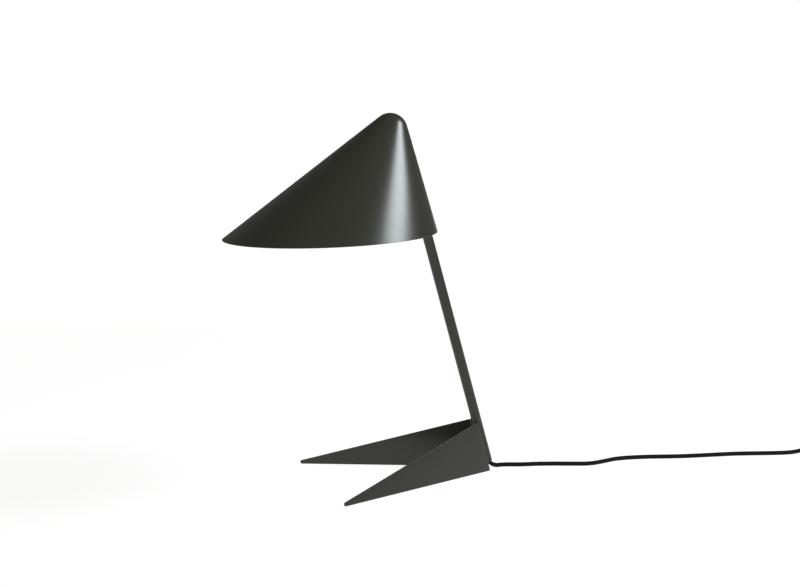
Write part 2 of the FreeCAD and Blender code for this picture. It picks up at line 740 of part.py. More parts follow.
def stem_cable():
    """The cord's straight run up the tube to where its sheath ends."""
    return placed(rod(cord_radius, Vec(0, 0, cord_inner_start), sheath_end - cord_inner_start), stem_frame)


def lamp_leads():
    """Two insulated leads: up the tube, out of its side hole, over the lock nut and down the nipple."""
    to_shade = shade_frame.inverse()
    above = nipple_top - 6.5
    leads = []
    for side in (-1, 1):
        beside, wide = side * lead_gap, side * lead_spread
        inside = [(0, beside, sheath_end), (0, beside, lead_hole_height), (-10.4, beside, lead_hole_height)]
        points = [to_shade.multVec(stem_frame.multVec(Vec(*point))) for point in inside]
        points += [Vec(10.6, wide, pivot_down + 3.0), Vec(10.6, wide, pivot_down - 11.0),
                   Vec(6.5, 0.5 * wide, above), Vec(1.2, side * 1.3, above), Vec(0.4, side * 1.15, nipple_top + 6.0),
                   Vec(0.2, side * 1.1, holder_top + nipple_in_holder - 0.2)]
        radii = []
        for before, point, after in zip(points, points[1:], points[2:]):
            shorter = min((point - before).Length, (after - point).Length)
            radii.append(min(lead_bend_radius, 0.45 * shorter / tan(turn_at(before, point, after) / 2)))
        leads.append(in_shade(swept(points, radii, lead_diameter)))
    return Part.makeCompound(leads)


# ---------------------------------------------------------------- switch and plug on the cord

def floor_frame(place, heading, height=0.0):
    """A level frame on the floor, whose X axis has the heading."""
    return FreeCAD.Placement(Vec(place[0], place[1], height), FreeCAD.Rotation(Vec(0, 0, 1), heading))


switch_frame = floor_frame(switch_start, switch_heading)
rocker_x = relief_length + switch_length / 2
rocker_pivot = Vec(rocker_x, 0, switch_height - rocker_pivot_drop)
rocker_hole_length = rocker_length + 2 * rocker_clearance
rocker_hole_width = rocker_width + 2 * rocker_clearance
rocker_bearing_radius = rocker_pin_radius + rocker_pin_clearance
cheek_inner = rocker_hole_width / 2 + 0.2
cheek_width = 2.0
screw_places = [(rocker_x + side * switch_screw_offset[0], side * switch_screw_offset[1]) for side in (-1, 1)]


def switch_outline(inset):
    """The switch's rounded block, moved in by the inset, from its left end at the relief."""
    half = switch_width / 2
    low, high = relief_length + inset, relief_length + switch_length - inset
    body = block((low, high), (inset - half, half - inset), (inset, switch_height - inset))
    upright = [edge for edge in body.Edges if abs(edge.tangentAt(edge.FirstParameter).z) > 0.9]
    body = body.makeFillet(switch_corner_radius - inset, upright)
    if inset:
        return body
    rims = [edge for edge in body.Edges if abs(edge.CenterOfMass.z - switch_height) < 1e-6]
    return body.makeFillet(switch_top_radius, rims)


def relief_hole():
    """The cord's way through both ends of the switch."""
    return rod(relief_grip / 2 - 1.0, Vec(0, 0, switch_axis_height), 3 * switch_length, Vec(1, 0, 0))


def switch_half(upper):
    """One half of the switch's housing, hollow, with its posts for the two screws."""
    size = 3 * switch_length
    shell = switch_outline(0).cut(switch_outline(switch_wall))
    for x, y in screw_places:
        shell = shell.fuse(rod(switch_post_radius, Vec(x, y, 0.5), switch_height - 1.5))
    shell = shell.cut(relief_hole())
    for x, y in screw_places:
        shell = shell.cut(rod(switch_screw_radius, Vec(x, y, 0), switch_height - 3.0))
        shell = shell.cut(rod(switch_screw_head, Vec(x, y, 0), switch_wall))
    if upper:
        opening = block((rocker_x - rocker_hole_length / 2, rocker_x + rocker_hole_length / 2),
                        (-rocker_hole_width / 2, rocker_hole_width / 2), (switch_axis_height, 2 * switch_height))
        shell = shell.cut(opening)
        for side in (-1, 1):
            inner, outer = sorted((side * cheek_inner, side * (cheek_inner + cheek_width)))
            cheek = block((rocker_x - 2.6, rocker_x + 2.6), (inner, outer),
                          (rocker_pivot.z - 2.4, switch_height - switch_wall / 2))
            shell = shell.fuse(cheek)
        shell = shell.cut(across_rocker(rocker_bearing_radius, switch_width / 2 - switch_wall - 3.4))
        shell = shell.cut(block((-size, size), (-size, size), (-size, switch_axis_height)))
    else:
        shell = shell.cut(block((-size, size), (-size, size), (switch_axis_height, size)))
    return placed(shell, switch_frame)


def across_rocker(radius, half_length):
    """A bar of that radius across the switch, on the rocker's pin."""
    return rod(radius, rocker_pivot - Vec(0, half_length, 0), 2 * half_length, Vec(0, 1, 0))


def switch_rocker():
    """The rocker: a dished key on a cross pin, pressed down at one end at rest."""
    radius = rocker_length / 2
    key = across_rocker(radius, rocker_width / 2)
    dish = rocker_pivot + Vec(0, -rocker_width, rocker_dish_radius + rocker_waist)
    key = key.cut(rod(rocker_dish_radius, dish, 2 * rocker_width, Vec(0, 1, 0)))
    key = key.common(block((rocker_x - radius, rocker_x + radius), (-rocker_width, rocker_width),
                           (rocker_pivot.z - 3.2, 3 * switch_height)))
    key = key.cut(across_rocker(rocker_bearing_radius, rocker_width))
    turn = FreeCAD.Placement(Vec(0, 0, 0), FreeCAD.Rotation(Vec(0, 1, 0), rocker_angle), rocker_pivot)
    return placed(placed(key, turn), switch_frame)


def rocker_pin():
    """The pin, from cheek to cheek."""
    return placed(across_rocker(rocker_pin_radius, cheek_inner + 1.8), switch_frame)


def switch_screws():
    """Two small countersunk screws from below."""
    screws = []
    for x, y in screw_places:
        shank = rod(switch_screw_radius, Vec(x, y, switch_wall), switch_height - 6.0)
        head = rod(switch_screw_head, Vec(x, y, 0.5), switch_wall - 0.5)
        slot = block((x - 3, x + 3), (y - 0.3, y + 0.3), (0.4, 1.0))
        screws.append(head.fuse(shank).removeSplitter().cut(slot))
    return placed(Part.makeCompound(screws), switch_frame)


def switch_contacts():
    """The fixed contact block and blade below the rocker."""
    base_block = block((rocker_x - 9.0, rocker_x + 9.0), (-5.0, 5.0), (switch_wall, 5.6))
    blade = block((rocker_x - 7.0, rocker_x + 7.0), (-1.5, 1.5), (5.6, 6.2))
    return placed(base_block.fuse(blade).removeSplitter(), switch_frame)


def relief(start, direction, height):
    """A tapered, grooved strain relief: from the housing to its free end along the direction."""
    step, slant = relief_length / (relief_rings + 1), relief_groove / 4
    outline = [(cord_radius, 0), (relief_grip / 2, 0)]
    for index in range(relief_rings):
        near = (index + 1) * step - relief_groove
        far = near + relief_groove
        wide = relief_grip / 2 + (relief_tail - relief_grip) / 2 * near / relief_length
        deep = wide - relief_groove_depth
        outline += [(wide, near), (deep, near + slant), (deep, far - slant), (wide, far)]
    outline += [(relief_tail / 2, relief_length), (cord_radius, relief_length)]
    turn = FreeCAD.Rotation(Vec(0, 0, 1), direction)
    return placed(turned(outline), FreeCAD.Placement(Vec(start.x, start.y, height), turn))


def switch_reliefs():
    """One strain relief at each end of the switch."""
    near = relief(Vec(relief_length, 0, 0), Vec(-1, 0, 0), switch_axis_height)
    far = relief(Vec(relief_length + switch_length, 0, 0), Vec(1, 0, 0), switch_axis_height)
    return placed(Part.makeCompound([near, far]), switch_frame)


plug_frame = floor_frame(plug_place, plug_heading)
plug_axis_height = plug_height / 2


def plug_body():
    """The moulded flat plug: wide at the pins and narrowing to the cord."""
    wide, neck = plug_width / 2, plug_neck_width / 2
    shoulder = plug_shoulder * plug_length
    corners = [Vec(0, -wide, 0), Vec(shoulder, -wide, 0), Vec(plug_length, -neck, 0),
               Vec(plug_length, neck, 0), Vec(shoulder, wide, 0), Vec(0, wide, 0)]
    body = Part.Face(Part.makePolygon(corners + corners[:1])).extrude(Vec(0, 0, plug_height))
    upright = [edge for edge in body.Edges if abs(edge.tangentAt(edge.FirstParameter).z) > 0.9]
    body = body.makeFillet(plug_corner_radius, upright)
    level = [edge for edge in body.Edges if abs(edge.tangentAt(edge.FirstParameter).z) < 0.1]
    body = body.makeFillet(plug_edge_radius, level)
    for side in (-1, 1):
        start = Vec(-1, side * pin_spacing / 2, plug_axis_height)
        body = body.cut(rod(pin_sleeve_diameter / 2, start, pin_depth + 1, Vec(1, 0, 0)))
    return placed(body, plug_frame)


def plug_sleeves():
    """The insulated root of each pin."""
    sleeves = []
    for side in (-1, 1):
        start = Vec(-pin_sleeve_length, side * pin_spacing / 2, plug_axis_height)
        length = pin_sleeve_length + pin_depth
        sleeves.append(tube(pin_sleeve_diameter / 2, pin_core_radius, start, length, Vec(1, 0, 0)))
    return placed(Part.makeCompound(sleeves), plug_frame)


def plug_pins():
    """The two pins, with rounded tips and a thinner root inside the sleeve."""
    radius, bare, end, pins = pin_diameter / 2, pin_length - pin_sleeve_length, pin_length + pin_depth, []
    for side in (-1, 1):
        outline = [(0, 0), (radius - 1.0, 0), (radius - 0.3, 0.35), (radius, 1.2), (radius, bare),
                   (pin_core_radius, bare), (pin_core_radius, end), (0, end)]
        turn = FreeCAD.Rotation(Vec(0, 0, 1), Vec(1, 0, 0))
        place = FreeCAD.Placement(Vec(-pin_length, side * pin_spacing / 2, plug_axis_height), turn)
        pins.append(placed(turned(outline), place))
    return placed(Part.makeCompound(pins), plug_frame)


def plug_relief():
    """The plug's strain relief."""
    return placed(relief(Vec(plug_length, 0, 0), Vec(1, 0, 0), plug_axis_height), plug_frame)


# ---------------------------------------------------------------- cord outside the lamp

def exit_route():
    """From inside the foot of the tube, out over the rear of its open end, down to the floor and along it."""
    start = stem_origin + stem_up * cord_inner_start
    steep = start - stem_up * 6.2
    points = [start, steep, Vec(160.7, 0.0, 6.2)]
    points += [Vec(x, y, cord_radius) for x, y in floor_route]
    entry = switch_frame.multVec(Vec(0, 0, switch_axis_height))
    before = switch_frame.multVec(Vec(-11.0, 0, switch_axis_height - 0.6))
    return points + [before, entry]


def cord_coil():
    """The wound length as one closed ring of the coil's outer shape."""
    across = coil_turns_across * cord_diameter
    height = coil_layers * cord_diameter
    inner, outer = coil_middle_radius - across / 2, coil_middle_radius + across / 2
    soft = 0.35 * cord_diameter
    outline = [(inner + soft, 0), (outer - soft, 0), (outer, soft), (outer, height - soft), (outer - soft, height),
               (inner + soft, height), (inner, height - soft), (inner, soft)]
    return placed(turned(outline), FreeCAD.Placement(Vec(*coil_centre, 0), FreeCAD.Rotation()))


def coil_entry_route():
    """From the switch to the side of the coil, where the cord runs into its lowest, outermost turn."""
    switch_end = 2 * relief_length + switch_length
    leave = switch_frame.multVec(Vec(switch_end, 0, switch_axis_height))
    after = switch_frame.multVec(Vec(switch_end + 10.0, 0, switch_axis_height - 0.8))
    return [leave, after] + [Vec(x, y, cord_radius) for x, y in coil_entry_points]


def plug_route():
    """From the coil's top outer turn down towards the floor and round to the plug."""
    entry = plug_frame.multVec(Vec(plug_length + relief_length, 0, plug_axis_height))
    return [Vec(*point) for point in plug_entry_points] + [entry]


# ---------------------------------------------------------------- all pieces

def build():
    """Every piece by its name."""
    sheet, stem, coil = base_sheet(), stem_tube(), cord_coil()
    return {
        "base_sheet": sheet, "stem_tube": stem, "stem_welds": weld_beads(sheet, stem), "cord_bush": cord_bush(),
        "knuckle_fork": fork(), "lead_grommet": lead_grommet(), "stem_cable": stem_cable(),
        "pivot_bolt": pivot_bolt(), "pivot_nut": pivot_nut(), "pivot_washers": flat_washers(),
        "friction_washers": friction_washers(), "pivot_spring_washer": spring_ring(),
        "shade_shell": shade_shell(), "back_screw": back_screw(), "back_washer": back_washer(),
        "knuckle_eye": knuckle_eye(), "holder_nipple": holder_nipple(), "holder_lock_nut": lock_nut(),
        "holder_washer": holder_washer(), "holder_cap": holder_cap(), "holder_skirt": holder_skirt(),
        "holder_core": holder_core(), "terminal_screws": terminal_screws(), "socket_shell": socket_shell(),
        "centre_contact": centre_contact(), "bulb_contact": bulb_contact(), "bulb_insulator": bulb_insulator(),
        "bulb_cap": bulb_cap(), "bulb_collar": bulb_collar(), "bulb_glass": bulb_glass(), "led_board": led_board(),
        "lamp_leads": lamp_leads(),
        "switch_base": switch_half(False), "switch_cover": switch_half(True), "switch_rocker": switch_rocker(),
        "rocker_pin": rocker_pin(), "switch_screws": switch_screws(), "switch_contacts": switch_contacts(),
        "switch_reliefs": switch_reliefs(),
        "plug_body": plug_body(), "plug_pins": plug_pins(), "plug_sleeves": plug_sleeves(),
        "plug_relief": plug_relief(),
        "power_cord": cord_solid(exit_route(), "power_cord"),
        "cord_to_coil": cord_solid(coil_entry_route(), "cord_to_coil").cut(coil),
        "cord_coil": coil,
        "cord_to_plug": cord_solid(plug_route(), "cord_to_plug").cut(coil),
    }


def main():
    os.makedirs("parts", exist_ok=True)
    for name, shape in build().items():
        shape.exportStep(f"parts/{name}.step")
        box = shape.optimalBoundingBox()
        print(f"{name:20s} solids {len(shape.Solids)} valid {shape.isValid()} volume {shape.Volume:10.1f} "
              f"x {box.XMin:8.2f} {box.XMax:8.2f} y {box.YMin:8.2f} {box.YMax:8.2f} z {box.ZMin:7.2f} {box.ZMax:7.2f}")
    print("web foot x", round(web_x, 3), "pivot", [round(value, 3) for value in pivot])
    print("rocker pivot", [round(value, 3) for value in switch_frame.multVec(rocker_pivot)])
    print("cord leaves at", [round(value, 3) for value in stem_origin + stem_up * stem_foot])


main()
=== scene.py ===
"""A desk lamp: a trimmed cone shade on a leaning stem, a folded base with two pointed fins, and its cord.

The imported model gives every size, place and joint. This script adds the finishes, and the pieces whose
shape or surface wants finer work than the frame holds: the spun shade, the folded base with its deburred
edges, the weld beads, the braided cord with its reliefs and its tie, and the grip ribs. Everything is in
metres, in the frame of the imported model; sizes in the classes are in millimetres, as a drawing gives them,
unless a comment says otherwise.
"""

import logging
from dataclasses import dataclass, field
from enum import Enum
from math import cos, pi, radians, sin, sqrt, tan
from typing import Any, Callable, Sequence

import bmesh
import bpy
from mathutils import Matrix, Vector


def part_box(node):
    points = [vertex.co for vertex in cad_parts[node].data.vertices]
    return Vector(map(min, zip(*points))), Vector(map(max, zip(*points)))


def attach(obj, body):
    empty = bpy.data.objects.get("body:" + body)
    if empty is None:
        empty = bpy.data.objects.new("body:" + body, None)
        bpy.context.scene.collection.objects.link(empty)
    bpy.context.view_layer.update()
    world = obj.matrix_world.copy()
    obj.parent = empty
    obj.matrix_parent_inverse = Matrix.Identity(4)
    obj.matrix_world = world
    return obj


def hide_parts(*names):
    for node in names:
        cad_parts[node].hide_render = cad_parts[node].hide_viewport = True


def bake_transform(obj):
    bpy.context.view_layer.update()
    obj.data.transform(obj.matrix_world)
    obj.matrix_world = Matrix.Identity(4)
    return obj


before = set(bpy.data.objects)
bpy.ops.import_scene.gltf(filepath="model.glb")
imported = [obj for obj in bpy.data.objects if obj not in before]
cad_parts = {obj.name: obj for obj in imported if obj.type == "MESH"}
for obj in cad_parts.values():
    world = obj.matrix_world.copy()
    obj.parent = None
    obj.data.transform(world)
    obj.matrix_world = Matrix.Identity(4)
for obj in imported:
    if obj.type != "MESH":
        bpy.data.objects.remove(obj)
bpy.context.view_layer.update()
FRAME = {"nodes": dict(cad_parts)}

log = logging.getLogger("desk_lamp")
MM = 0.001
NodeTree = bpy.types.NodeTree
Node = bpy.types.Node
NodeSocket = bpy.types.NodeSocket
Object = bpy.types.Object
Point = tuple[float, float, float]


# ----------------------------------------------------------------------------------------------- small tools

def linear(code: str) -> tuple[float, float, float, float]:
    """Turns an sRGB hex code into the linear colour that the shaders work in.

    Args:
        code: six hex digits, such as "33342f".

    Returns:
        Linear red, green and blue, and an alpha of 1.
    """
    channels = [int(code[start:start + 2], 16) / 255 for start in (0, 2, 4)]
    red, green, blue = [c / 12.92 if c <= 0.04045 else ((c + 0.055) / 1.055) ** 2.4 for c in channels]
    return red, green, blue, 1.0


def add_node(tree: NodeTree, kind: str, inputs: dict[Any, Any] | None = None, **settings: Any) -> Node:
    """Adds one node to a tree, with its settings and what feeds it.

    Args:
        tree: the shader or geometry tree.
        kind: the node's type name.
        inputs: for each input, by name or number, a value, a node whose first output feeds it, or a socket.
        **settings: attributes of the node itself, such as operation="MULTIPLY".

    Returns:
        The new node.
    """
    node = tree.nodes.new(kind)
    for name, value in settings.items():
        setattr(node, name, value)
    for name, value in (inputs or {}).items():
        if isinstance(value, Node):
            tree.links.new(value.outputs[0], node.inputs[name])
        elif isinstance(value, NodeSocket):
            tree.links.new(value, node.inputs[name])
        else:
            node.inputs[name].default_value = value
    return node


def link_piece(name: str, mesh: bpy.types.Mesh) -> Object:
    """Puts a mesh into the scene as a piece, at the origin.

    Args:
        name: the piece's name.
        mesh: its mesh.

    Returns:
        The piece.
    """
    piece = bpy.data.objects.new(name, mesh)
    bpy.context.scene.collection.objects.link(piece)
    return piece


def smooth(mesh: bpy.types.Mesh, sharp_degrees: float = 35.0) -> None:
    """Shades a mesh smooth, except across edges that turn by more than an angle."""
    mesh.polygons.foreach_set("use_smooth", [True] * len(mesh.polygons))
    mesh.set_sharp_from_angle(angle=radians(sharp_degrees))


def axes(origin: Vector, x_axis: Vector, z_axis: Vector) -> Matrix:
    """Gives a frame's placement from its origin and two of its axes.

    Args:
        origin: where it stands.
        x_axis: the way its X looks.
        z_axis: the way its Z looks, square to X.

    Returns:
        The placement.
    """
    x_unit, z_unit = x_axis.normalized(), z_axis.normalized()
    turn = Matrix((x_unit, z_unit.cross(x_unit), z_unit)).transposed()
    return Matrix.Translation(origin) @ turn.to_4x4()


def middle_of(node: str) -> Vector:
    """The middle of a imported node's box."""
    low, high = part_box(node)
    return (low + high) / 2


class Body(Enum):
    """The parts of the lamp that move as one."""

    BASE = "base"
    SHADE = "shade"
    ROCKER = "rocker"


def finish_piece(piece: Object, body: Body, stands_for: Sequence[str] = ()) -> Object:
    """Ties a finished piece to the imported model.

    Args:
        piece: the object, at the origin.
        body: what it moves with.
        stands_for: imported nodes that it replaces.

    Returns:
        The same piece.
    """
    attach(piece, body.value)
    if stands_for:
        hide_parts(*stands_for)
    log.info("%s: %d faces", piece.name, len(piece.data.polygons) if piece.type == "MESH" else 0)
    return piece


# -------------------------------------------------------------------------------------------------- finishes

CLOUD_LOW, CLOUD_HIGH = 0.2, 0.8        # noise seldom leaves this range
COAT_ROUGHNESS = 0.12
SHEEN_ROUGHNESS = 0.5
SCATTER_DEPTH = 2 * MM
SCATTER_SHARES = (1.0, 0.9, 0.8)        # red light goes deepest


@dataclass(frozen=True)
class Finish:
    """What one surface is made of. The sizes of clouds, grain and relief are in millimetres."""

    name: str
    colour: str
    roughness: float
    second_colour: str = ""         # the other end of a slight, cloudy change of colour
    metallic: float = 0.0
    cloud: float = 18.0             # size of the clouds
    swing: float = 0.05             # how far the roughness strays in the clouds, up and down
    grain: float = 0.5              # size of the fine relief
    relief: float = 0.01            # height of the fine relief
    ior: float = 1.5
    coat: float = 0.0
    sheen: float = 0.0
    gloss: float = 0.5              # 0.5 for a smooth surface, less where fibres or pores swallow the shine
    subsurface: float = 0.0

    def shader_values(self) -> dict[str, Any]:
        """Gathers the values that are the same all over the surface.

        Returns:
            The shader's inputs by name.
        """
        values: dict[str, Any] = {"Metallic": self.metallic}
        if not self.metallic:
            values.update({"IOR": self.ior, "Specular IOR Level": self.gloss})
        if self.coat:
            values.update({"Coat Weight": self.coat, "Coat Roughness": COAT_ROUGHNESS})
        if self.sheen:
            values.update({"Sheen Weight": self.sheen, "Sheen Roughness": SHEEN_ROUGHNESS})
        if self.subsurface:
            values.update({"Subsurface Weight": self.subsurface, "Subsurface Scale": SCATTER_DEPTH,
                           "Subsurface Radius": SCATTER_SHARES})
        return values

    def clouds(self, tree: NodeTree, point: NodeSocket) -> Node:
        """Soft clouds from 0 to 1, which move the colour and the roughness."""
        return add_node(tree, "ShaderNodeTexNoise", {
            "Vector": point, "Scale": 1 / (self.cloud * MM), "Detail": 3.0, "Roughness": 0.55})

    def tint(self, tree: NodeTree, point: NodeSocket, clouds: Node) -> Node:
        """Gives the colour, which strays to the second colour in the clouds.

        Args:
            tree: the material's tree.
            point: where on the surface the pattern is read.
            clouds: soft clouds from 0 to 1.

        Returns:
            The node that gives the colour.
        """
        ramp = add_node(tree, "ShaderNodeValToRGB", {"Fac": clouds})
        low, high = ramp.color_ramp.elements
        low.position, low.color = CLOUD_LOW, linear(self.colour)
        high.position, high.color = CLOUD_HIGH, linear(self.second_colour or self.colour)
        return ramp

    def height(self, tree: NodeTree, point: NodeSocket) -> Node:
        """The fine relief of the surface, from 0 to 1."""
        return add_node(tree, "ShaderNodeTexNoise", {
            "Vector": point, "Scale": 1 / (self.grain * MM), "Detail": 2.0, "Roughness": 0.5})

    def material(self) -> bpy.types.Material:
        """Builds the material, or gives the one that was built before.

        Returns:
            A material named after the finish.
        """
        made = bpy.data.materials.get(self.name)
        if made:
            return made
        made = bpy.data.materials.new(self.name)
        made.use_nodes = True
        tree = made.node_tree
        tree.nodes.clear()
        point = self.point(tree)
        clouds = self.clouds(tree, point)
        rough = add_node(tree, "ShaderNodeMapRange", {
            "Value": clouds, "From Min": CLOUD_LOW, "From Max": CLOUD_HIGH,
            "To Min": self.roughness - self.swing, "To Max": self.roughness + self.swing})
        bump = add_node(tree, "ShaderNodeBump", {
            "Height": self.height(tree, point), "Distance": self.relief * MM, "Strength": 1.0})
        shader = add_node(tree, "ShaderNodeBsdfPrincipled", {
            "Base Color": self.tint(tree, point, clouds), "Roughness": rough, "Normal": bump,
            **self.shader_values()})
        add_node(tree, "ShaderNodeOutputMaterial", {"Surface": shader})
        return made

    def point(self, tree: NodeTree) -> NodeSocket:
        """Where on the surface a pattern is read: the piece's own place, in metres."""
        return add_node(tree, "ShaderNodeTexCoord").outputs["Object"]


@dataclass(frozen=True)
class Brushed(Finish):
    """A metal with the fine parallel lines that turning, milling or brushing leaves."""

    line_length: float = 12.0       # millimetres along Y, the way that the knuckle's parts are turned

    def height(self, tree: NodeTree, point: NodeSocket) -> Node:
        """Draws lines one grain wide and much longer than that.

        Args:
            tree: the material's tree.
            point: where on the surface the pattern is read.

        Returns:
            The node that gives the height.
        """
        fine, long = 1 / (self.grain * MM), 1 / (self.line_length * MM)
        stretched = add_node(tree, "ShaderNodeMapping", {"Vector": point, "Scale": (fine, long, fine)})
        return add_node(tree, "ShaderNodeTexNoise", {"Vector": stretched, "Scale": 1.0, "Detail": 2.0})


@dataclass(frozen=True)
class Speckled(Finish):
    """A fired or filled body with small dark specks."""

    speck: float = 0.8              # millimetres between specks
    speck_colour: str = "8d7f69"
    speck_core: float = 0.12        # full colour this near to a speck's middle, as a share of the spacing
    speck_rim: float = 0.2          # and none of it from here on
    speck_strength: float = 0.7

    def tint(self, tree: NodeTree, point: NodeSocket, clouds: Node) -> Node:
        """Gives the cloudy colour, with a speck in the middle of each cell of a cell pattern.

        Args:
            tree: the material's tree.
            point: where on the surface the pattern is read.
            clouds: soft clouds from 0 to 1.

        Returns:
            The node that gives the colour.
        """
        ground = super().tint(tree, point, clouds)
        cells = add_node(tree, "ShaderNodeTexVoronoi", {"Vector": point, "Scale": 1 / (self.speck * MM)})
        share = add_node(tree, "ShaderNodeMapRange", {
            "Value": cells.outputs["Distance"], "From Min": self.speck_core, "From Max": self.speck_rim,
            "To Min": self.speck_strength, "To Max": 0.0})
        return add_node(tree, "ShaderNodeMixRGB", {
            "Fac": share, "Color1": ground, "Color2": linear(self.speck_colour)})


@dataclass(frozen=True)
class TwoLeads(Finish):
    """Insulation of two colours, one for the lead on each side of the middle plane."""

    def tint(self, tree: NodeTree, point: NodeSocket, clouds: Node) -> Node:
        """Gives the first colour where Y is below zero and the second above.

        Args:
            tree: the material's tree.
            point: where on the surface the pattern is read.
            clouds: soft clouds from 0 to 1.

        Returns:
            The node that gives the colour.
        """
        parts = add_node(tree, "ShaderNodeSeparateXYZ", {"Vector": point})
        side = add_node(tree, "ShaderNodeMath", {0: parts.outputs["Y"], 1: 0.0}, operation="GREATER_THAN")
        return add_node(tree, "ShaderNodeMixRGB", {
            "Fac": side, "Color1": linear(self.colour), "Color2": linear(self.second_colour)})


@dataclass(frozen=True)
class Braid(Finish):
    """A braided textile sleeve, read from the cord's own UV map: U runs along it and V round it."""

    carriers: int = 12              # threads, half of which wind each way round the cord
    pitch: float = 9.0              # millimetres along the cord for one whole turn of a thread
    length: float = 1700.0          # millimetres of cord, which U covers once
    stretches: float = 1.3          # lighter and darker stretches for each turn of a thread

    def point(self, tree: NodeTree) -> NodeSocket:
        """U and V of the cord, with U in turns of a thread."""
        flat = add_node(tree, "ShaderNodeTexCoord").outputs["UV"]
        return add_node(tree, "ShaderNodeMapping", {
            "Vector": flat, "Scale": (self.length / self.pitch, 1.0, 1.0)}).outputs["Vector"]

    def clouds(self, tree: NodeTree, point: NodeSocket) -> Node:
        """Lighter and darker stretches along the cord."""
        return add_node(tree, "ShaderNodeTexNoise", {
            "Vector": point, "Scale": self.stretches, "Detail": 4.0})

    def height(self, tree: NodeTree, point: NodeSocket) -> Node:
        """Crosses two sets of threads as diamonds, each thread high in its middle.

        Args:
            tree: the material's tree.
            point: where on the surface the pattern is read.

        Returns:
            The node that gives the height.
        """
        parts = add_node(tree, "ShaderNodeSeparateXYZ", {"Vector": point})
        along, round_it = parts.outputs["X"], parts.outputs["Y"]
        ridges = []
        for way in ("ADD", "SUBTRACT"):
            lean = add_node(tree, "ShaderNodeMath", {0: round_it, 1: along}, operation=way)
            turn = add_node(tree, "ShaderNodeMath", {0: lean, 1: pi * self.carriers}, operation="MULTIPLY")
            ridges.append(add_node(tree, "ShaderNodeMath", {0: turn}, operation="SINE"))
        return add_node(tree, "ShaderNodeMath", {0: ridges[0], 1: ridges[1]}, operation="MULTIPLY")

    def tint(self, tree: NodeTree, point: NodeSocket, clouds: Node) -> Node:
        """Gives the first colour between the threads and the second on the crown of each.

        Args:
            tree: the material's tree.
            point: where on the surface the pattern is read.
            clouds: soft clouds from 0 to 1.

        Returns:
            The node that gives the colour.
        """
        # Painted shade: darker between the threads; painted highlight: lighter on their crowns.
        height = self.height(tree, point)
        share = add_node(tree, "ShaderNodeMapRange", {"Value": height, "From Min": -1.0, "From Max": 1.0})
        return add_node(tree, "ShaderNodeMixRGB", {
            "Fac": share, "Color1": linear(self.colour), "Color2": linear(self.second_colour)})


# Polyester powder coat, sprayed and baked on steel: an even, satin, warm black with a fine orange peel.
POWDER_COAT = Finish("powder_coat_anthracite", "27271f", 0.285, "292921", cloud=60.0, swing=0.015,
                     grain=0.7, relief=0.0035, gloss=0.4)
# The coat pulls back from a cut edge as it bakes; the edges' lighter colour is mostly a painted highlight.
POWDER_COAT_EDGE_HIGHLIGHT = Finish("powder_coat_thin_edge_painted_highlight", "62635c", 0.3, "6b6c65", cloud=9.0, swing=0.03,
                          grain=0.7, relief=0.003)
# The same coat in white inside the shade, a little more matt, so that it spreads the light.
POWDER_COAT_WHITE = Finish("powder_coat_white", "e9e8e1", 0.42, "e4e3dc", cloud=60.0, swing=0.03,
                           grain=0.7, relief=0.006)
# Milled and lacquered brass: warm, with fine tool lines across it and slightly darker clouds.
MILLED_BRASS = Brushed("brass_milled", "c29a55", 0.3, "a98142", metallic=1.0, cloud=7.0, grain=0.12,
                       relief=0.01)
# Pressed brass sheet: smoother and brighter, dulled a little in patches.
PRESSED_BRASS = Finish("brass_pressed", "d3ae66", 0.28, "b98f4c", metallic=1.0, cloud=5.0, swing=0.08,
                       grain=0.4, relief=0.01)
# Zinc-plated steel: pale grey with a faint blue and straw bloom from the passivation.
ZINC_STEEL = Brushed("zinc_plated_steel", "b4b8bd", 0.36, "c2bda9", metallic=1.0, cloud=3.0, grain=0.15,
                     relief=0.008)
# Blackened steel: the oxide leaves a dark, slightly oily metal.
BLACK_STEEL = Finish("black_oxide_steel", "3a3b3d", 0.38, "2f2f31", metallic=1.0, cloud=2.0, grain=0.25,
                     relief=0.006)
# Nickel-plated brass pins: bright, with a drawn finish along the pin.
NICKEL = Brushed("nickel_plated_brass", "c9c5bb", 0.2, "bcb7ab", metallic=1.0, cloud=6.0, grain=0.2,
                 relief=0.006)
# Solder on the bulb's tip: dull grey tin, cast in a small puddle.
SOLDER = Finish("cast_solder", "a9abad", 0.42, "8f9193", metallic=1.0, cloud=1.5, grain=0.7, relief=0.03)
# Vulcanised fibre washers: red-brown pressed paper with visible fibres.
FIBRE = Brushed("vulcanised_fibre", "7a3a2b", 0.7, "8a4a37", cloud=1.5, grain=0.2, relief=0.02,
                line_length=2.0)
# Injection-moulded nylon bush: black, smooth, faintly waxy.
NYLON = Finish("moulded_nylon", "1b1b1c", 0.42, "202021", cloud=4.0, grain=0.4, relief=0.006, ior=1.53)
# Moulded rubber of the grommet and the strain reliefs: matt black with a dusty bloom.
RUBBER = Finish("moulded_rubber", "1a1a1a", 0.62, "242423", cloud=5.0, grain=0.35, relief=0.015, ior=1.52)
# Phenolic resin of the lamp holder: hard, glossy, nearly black, with a faint brown flow in it.
PHENOLIC = Finish("moulded_phenolic", "171412", 0.2, "1f1a16", cloud=9.0, swing=0.04, grain=1.2,
                  relief=0.006, coat=0.3)
# Steatite insulator: unglazed cream ceramic with small iron specks.
STEATITE = Speckled("pressed_steatite", "e3dbc8", 0.5, "d9d0bb", cloud=5.0, grain=0.3, relief=0.015)
# Opal glass: milky and smooth, lit a little from within by scattering.
OPAL_GLASS = Finish("blown_opal_glass", "f3f1ea", 0.12, "efede6", cloud=25.0, swing=0.02, grain=6.0,
                    relief=0.01, ior=1.52, subsurface=0.3)
# The bulb's moulded collar: white polycarbonate with a fine satin from the mould.
POLYCARBONATE = Finish("moulded_polycarbonate", "ebe9e2", 0.4, "e6e4dc", cloud=10.0, grain=0.3,
                       relief=0.01, ior=1.58)
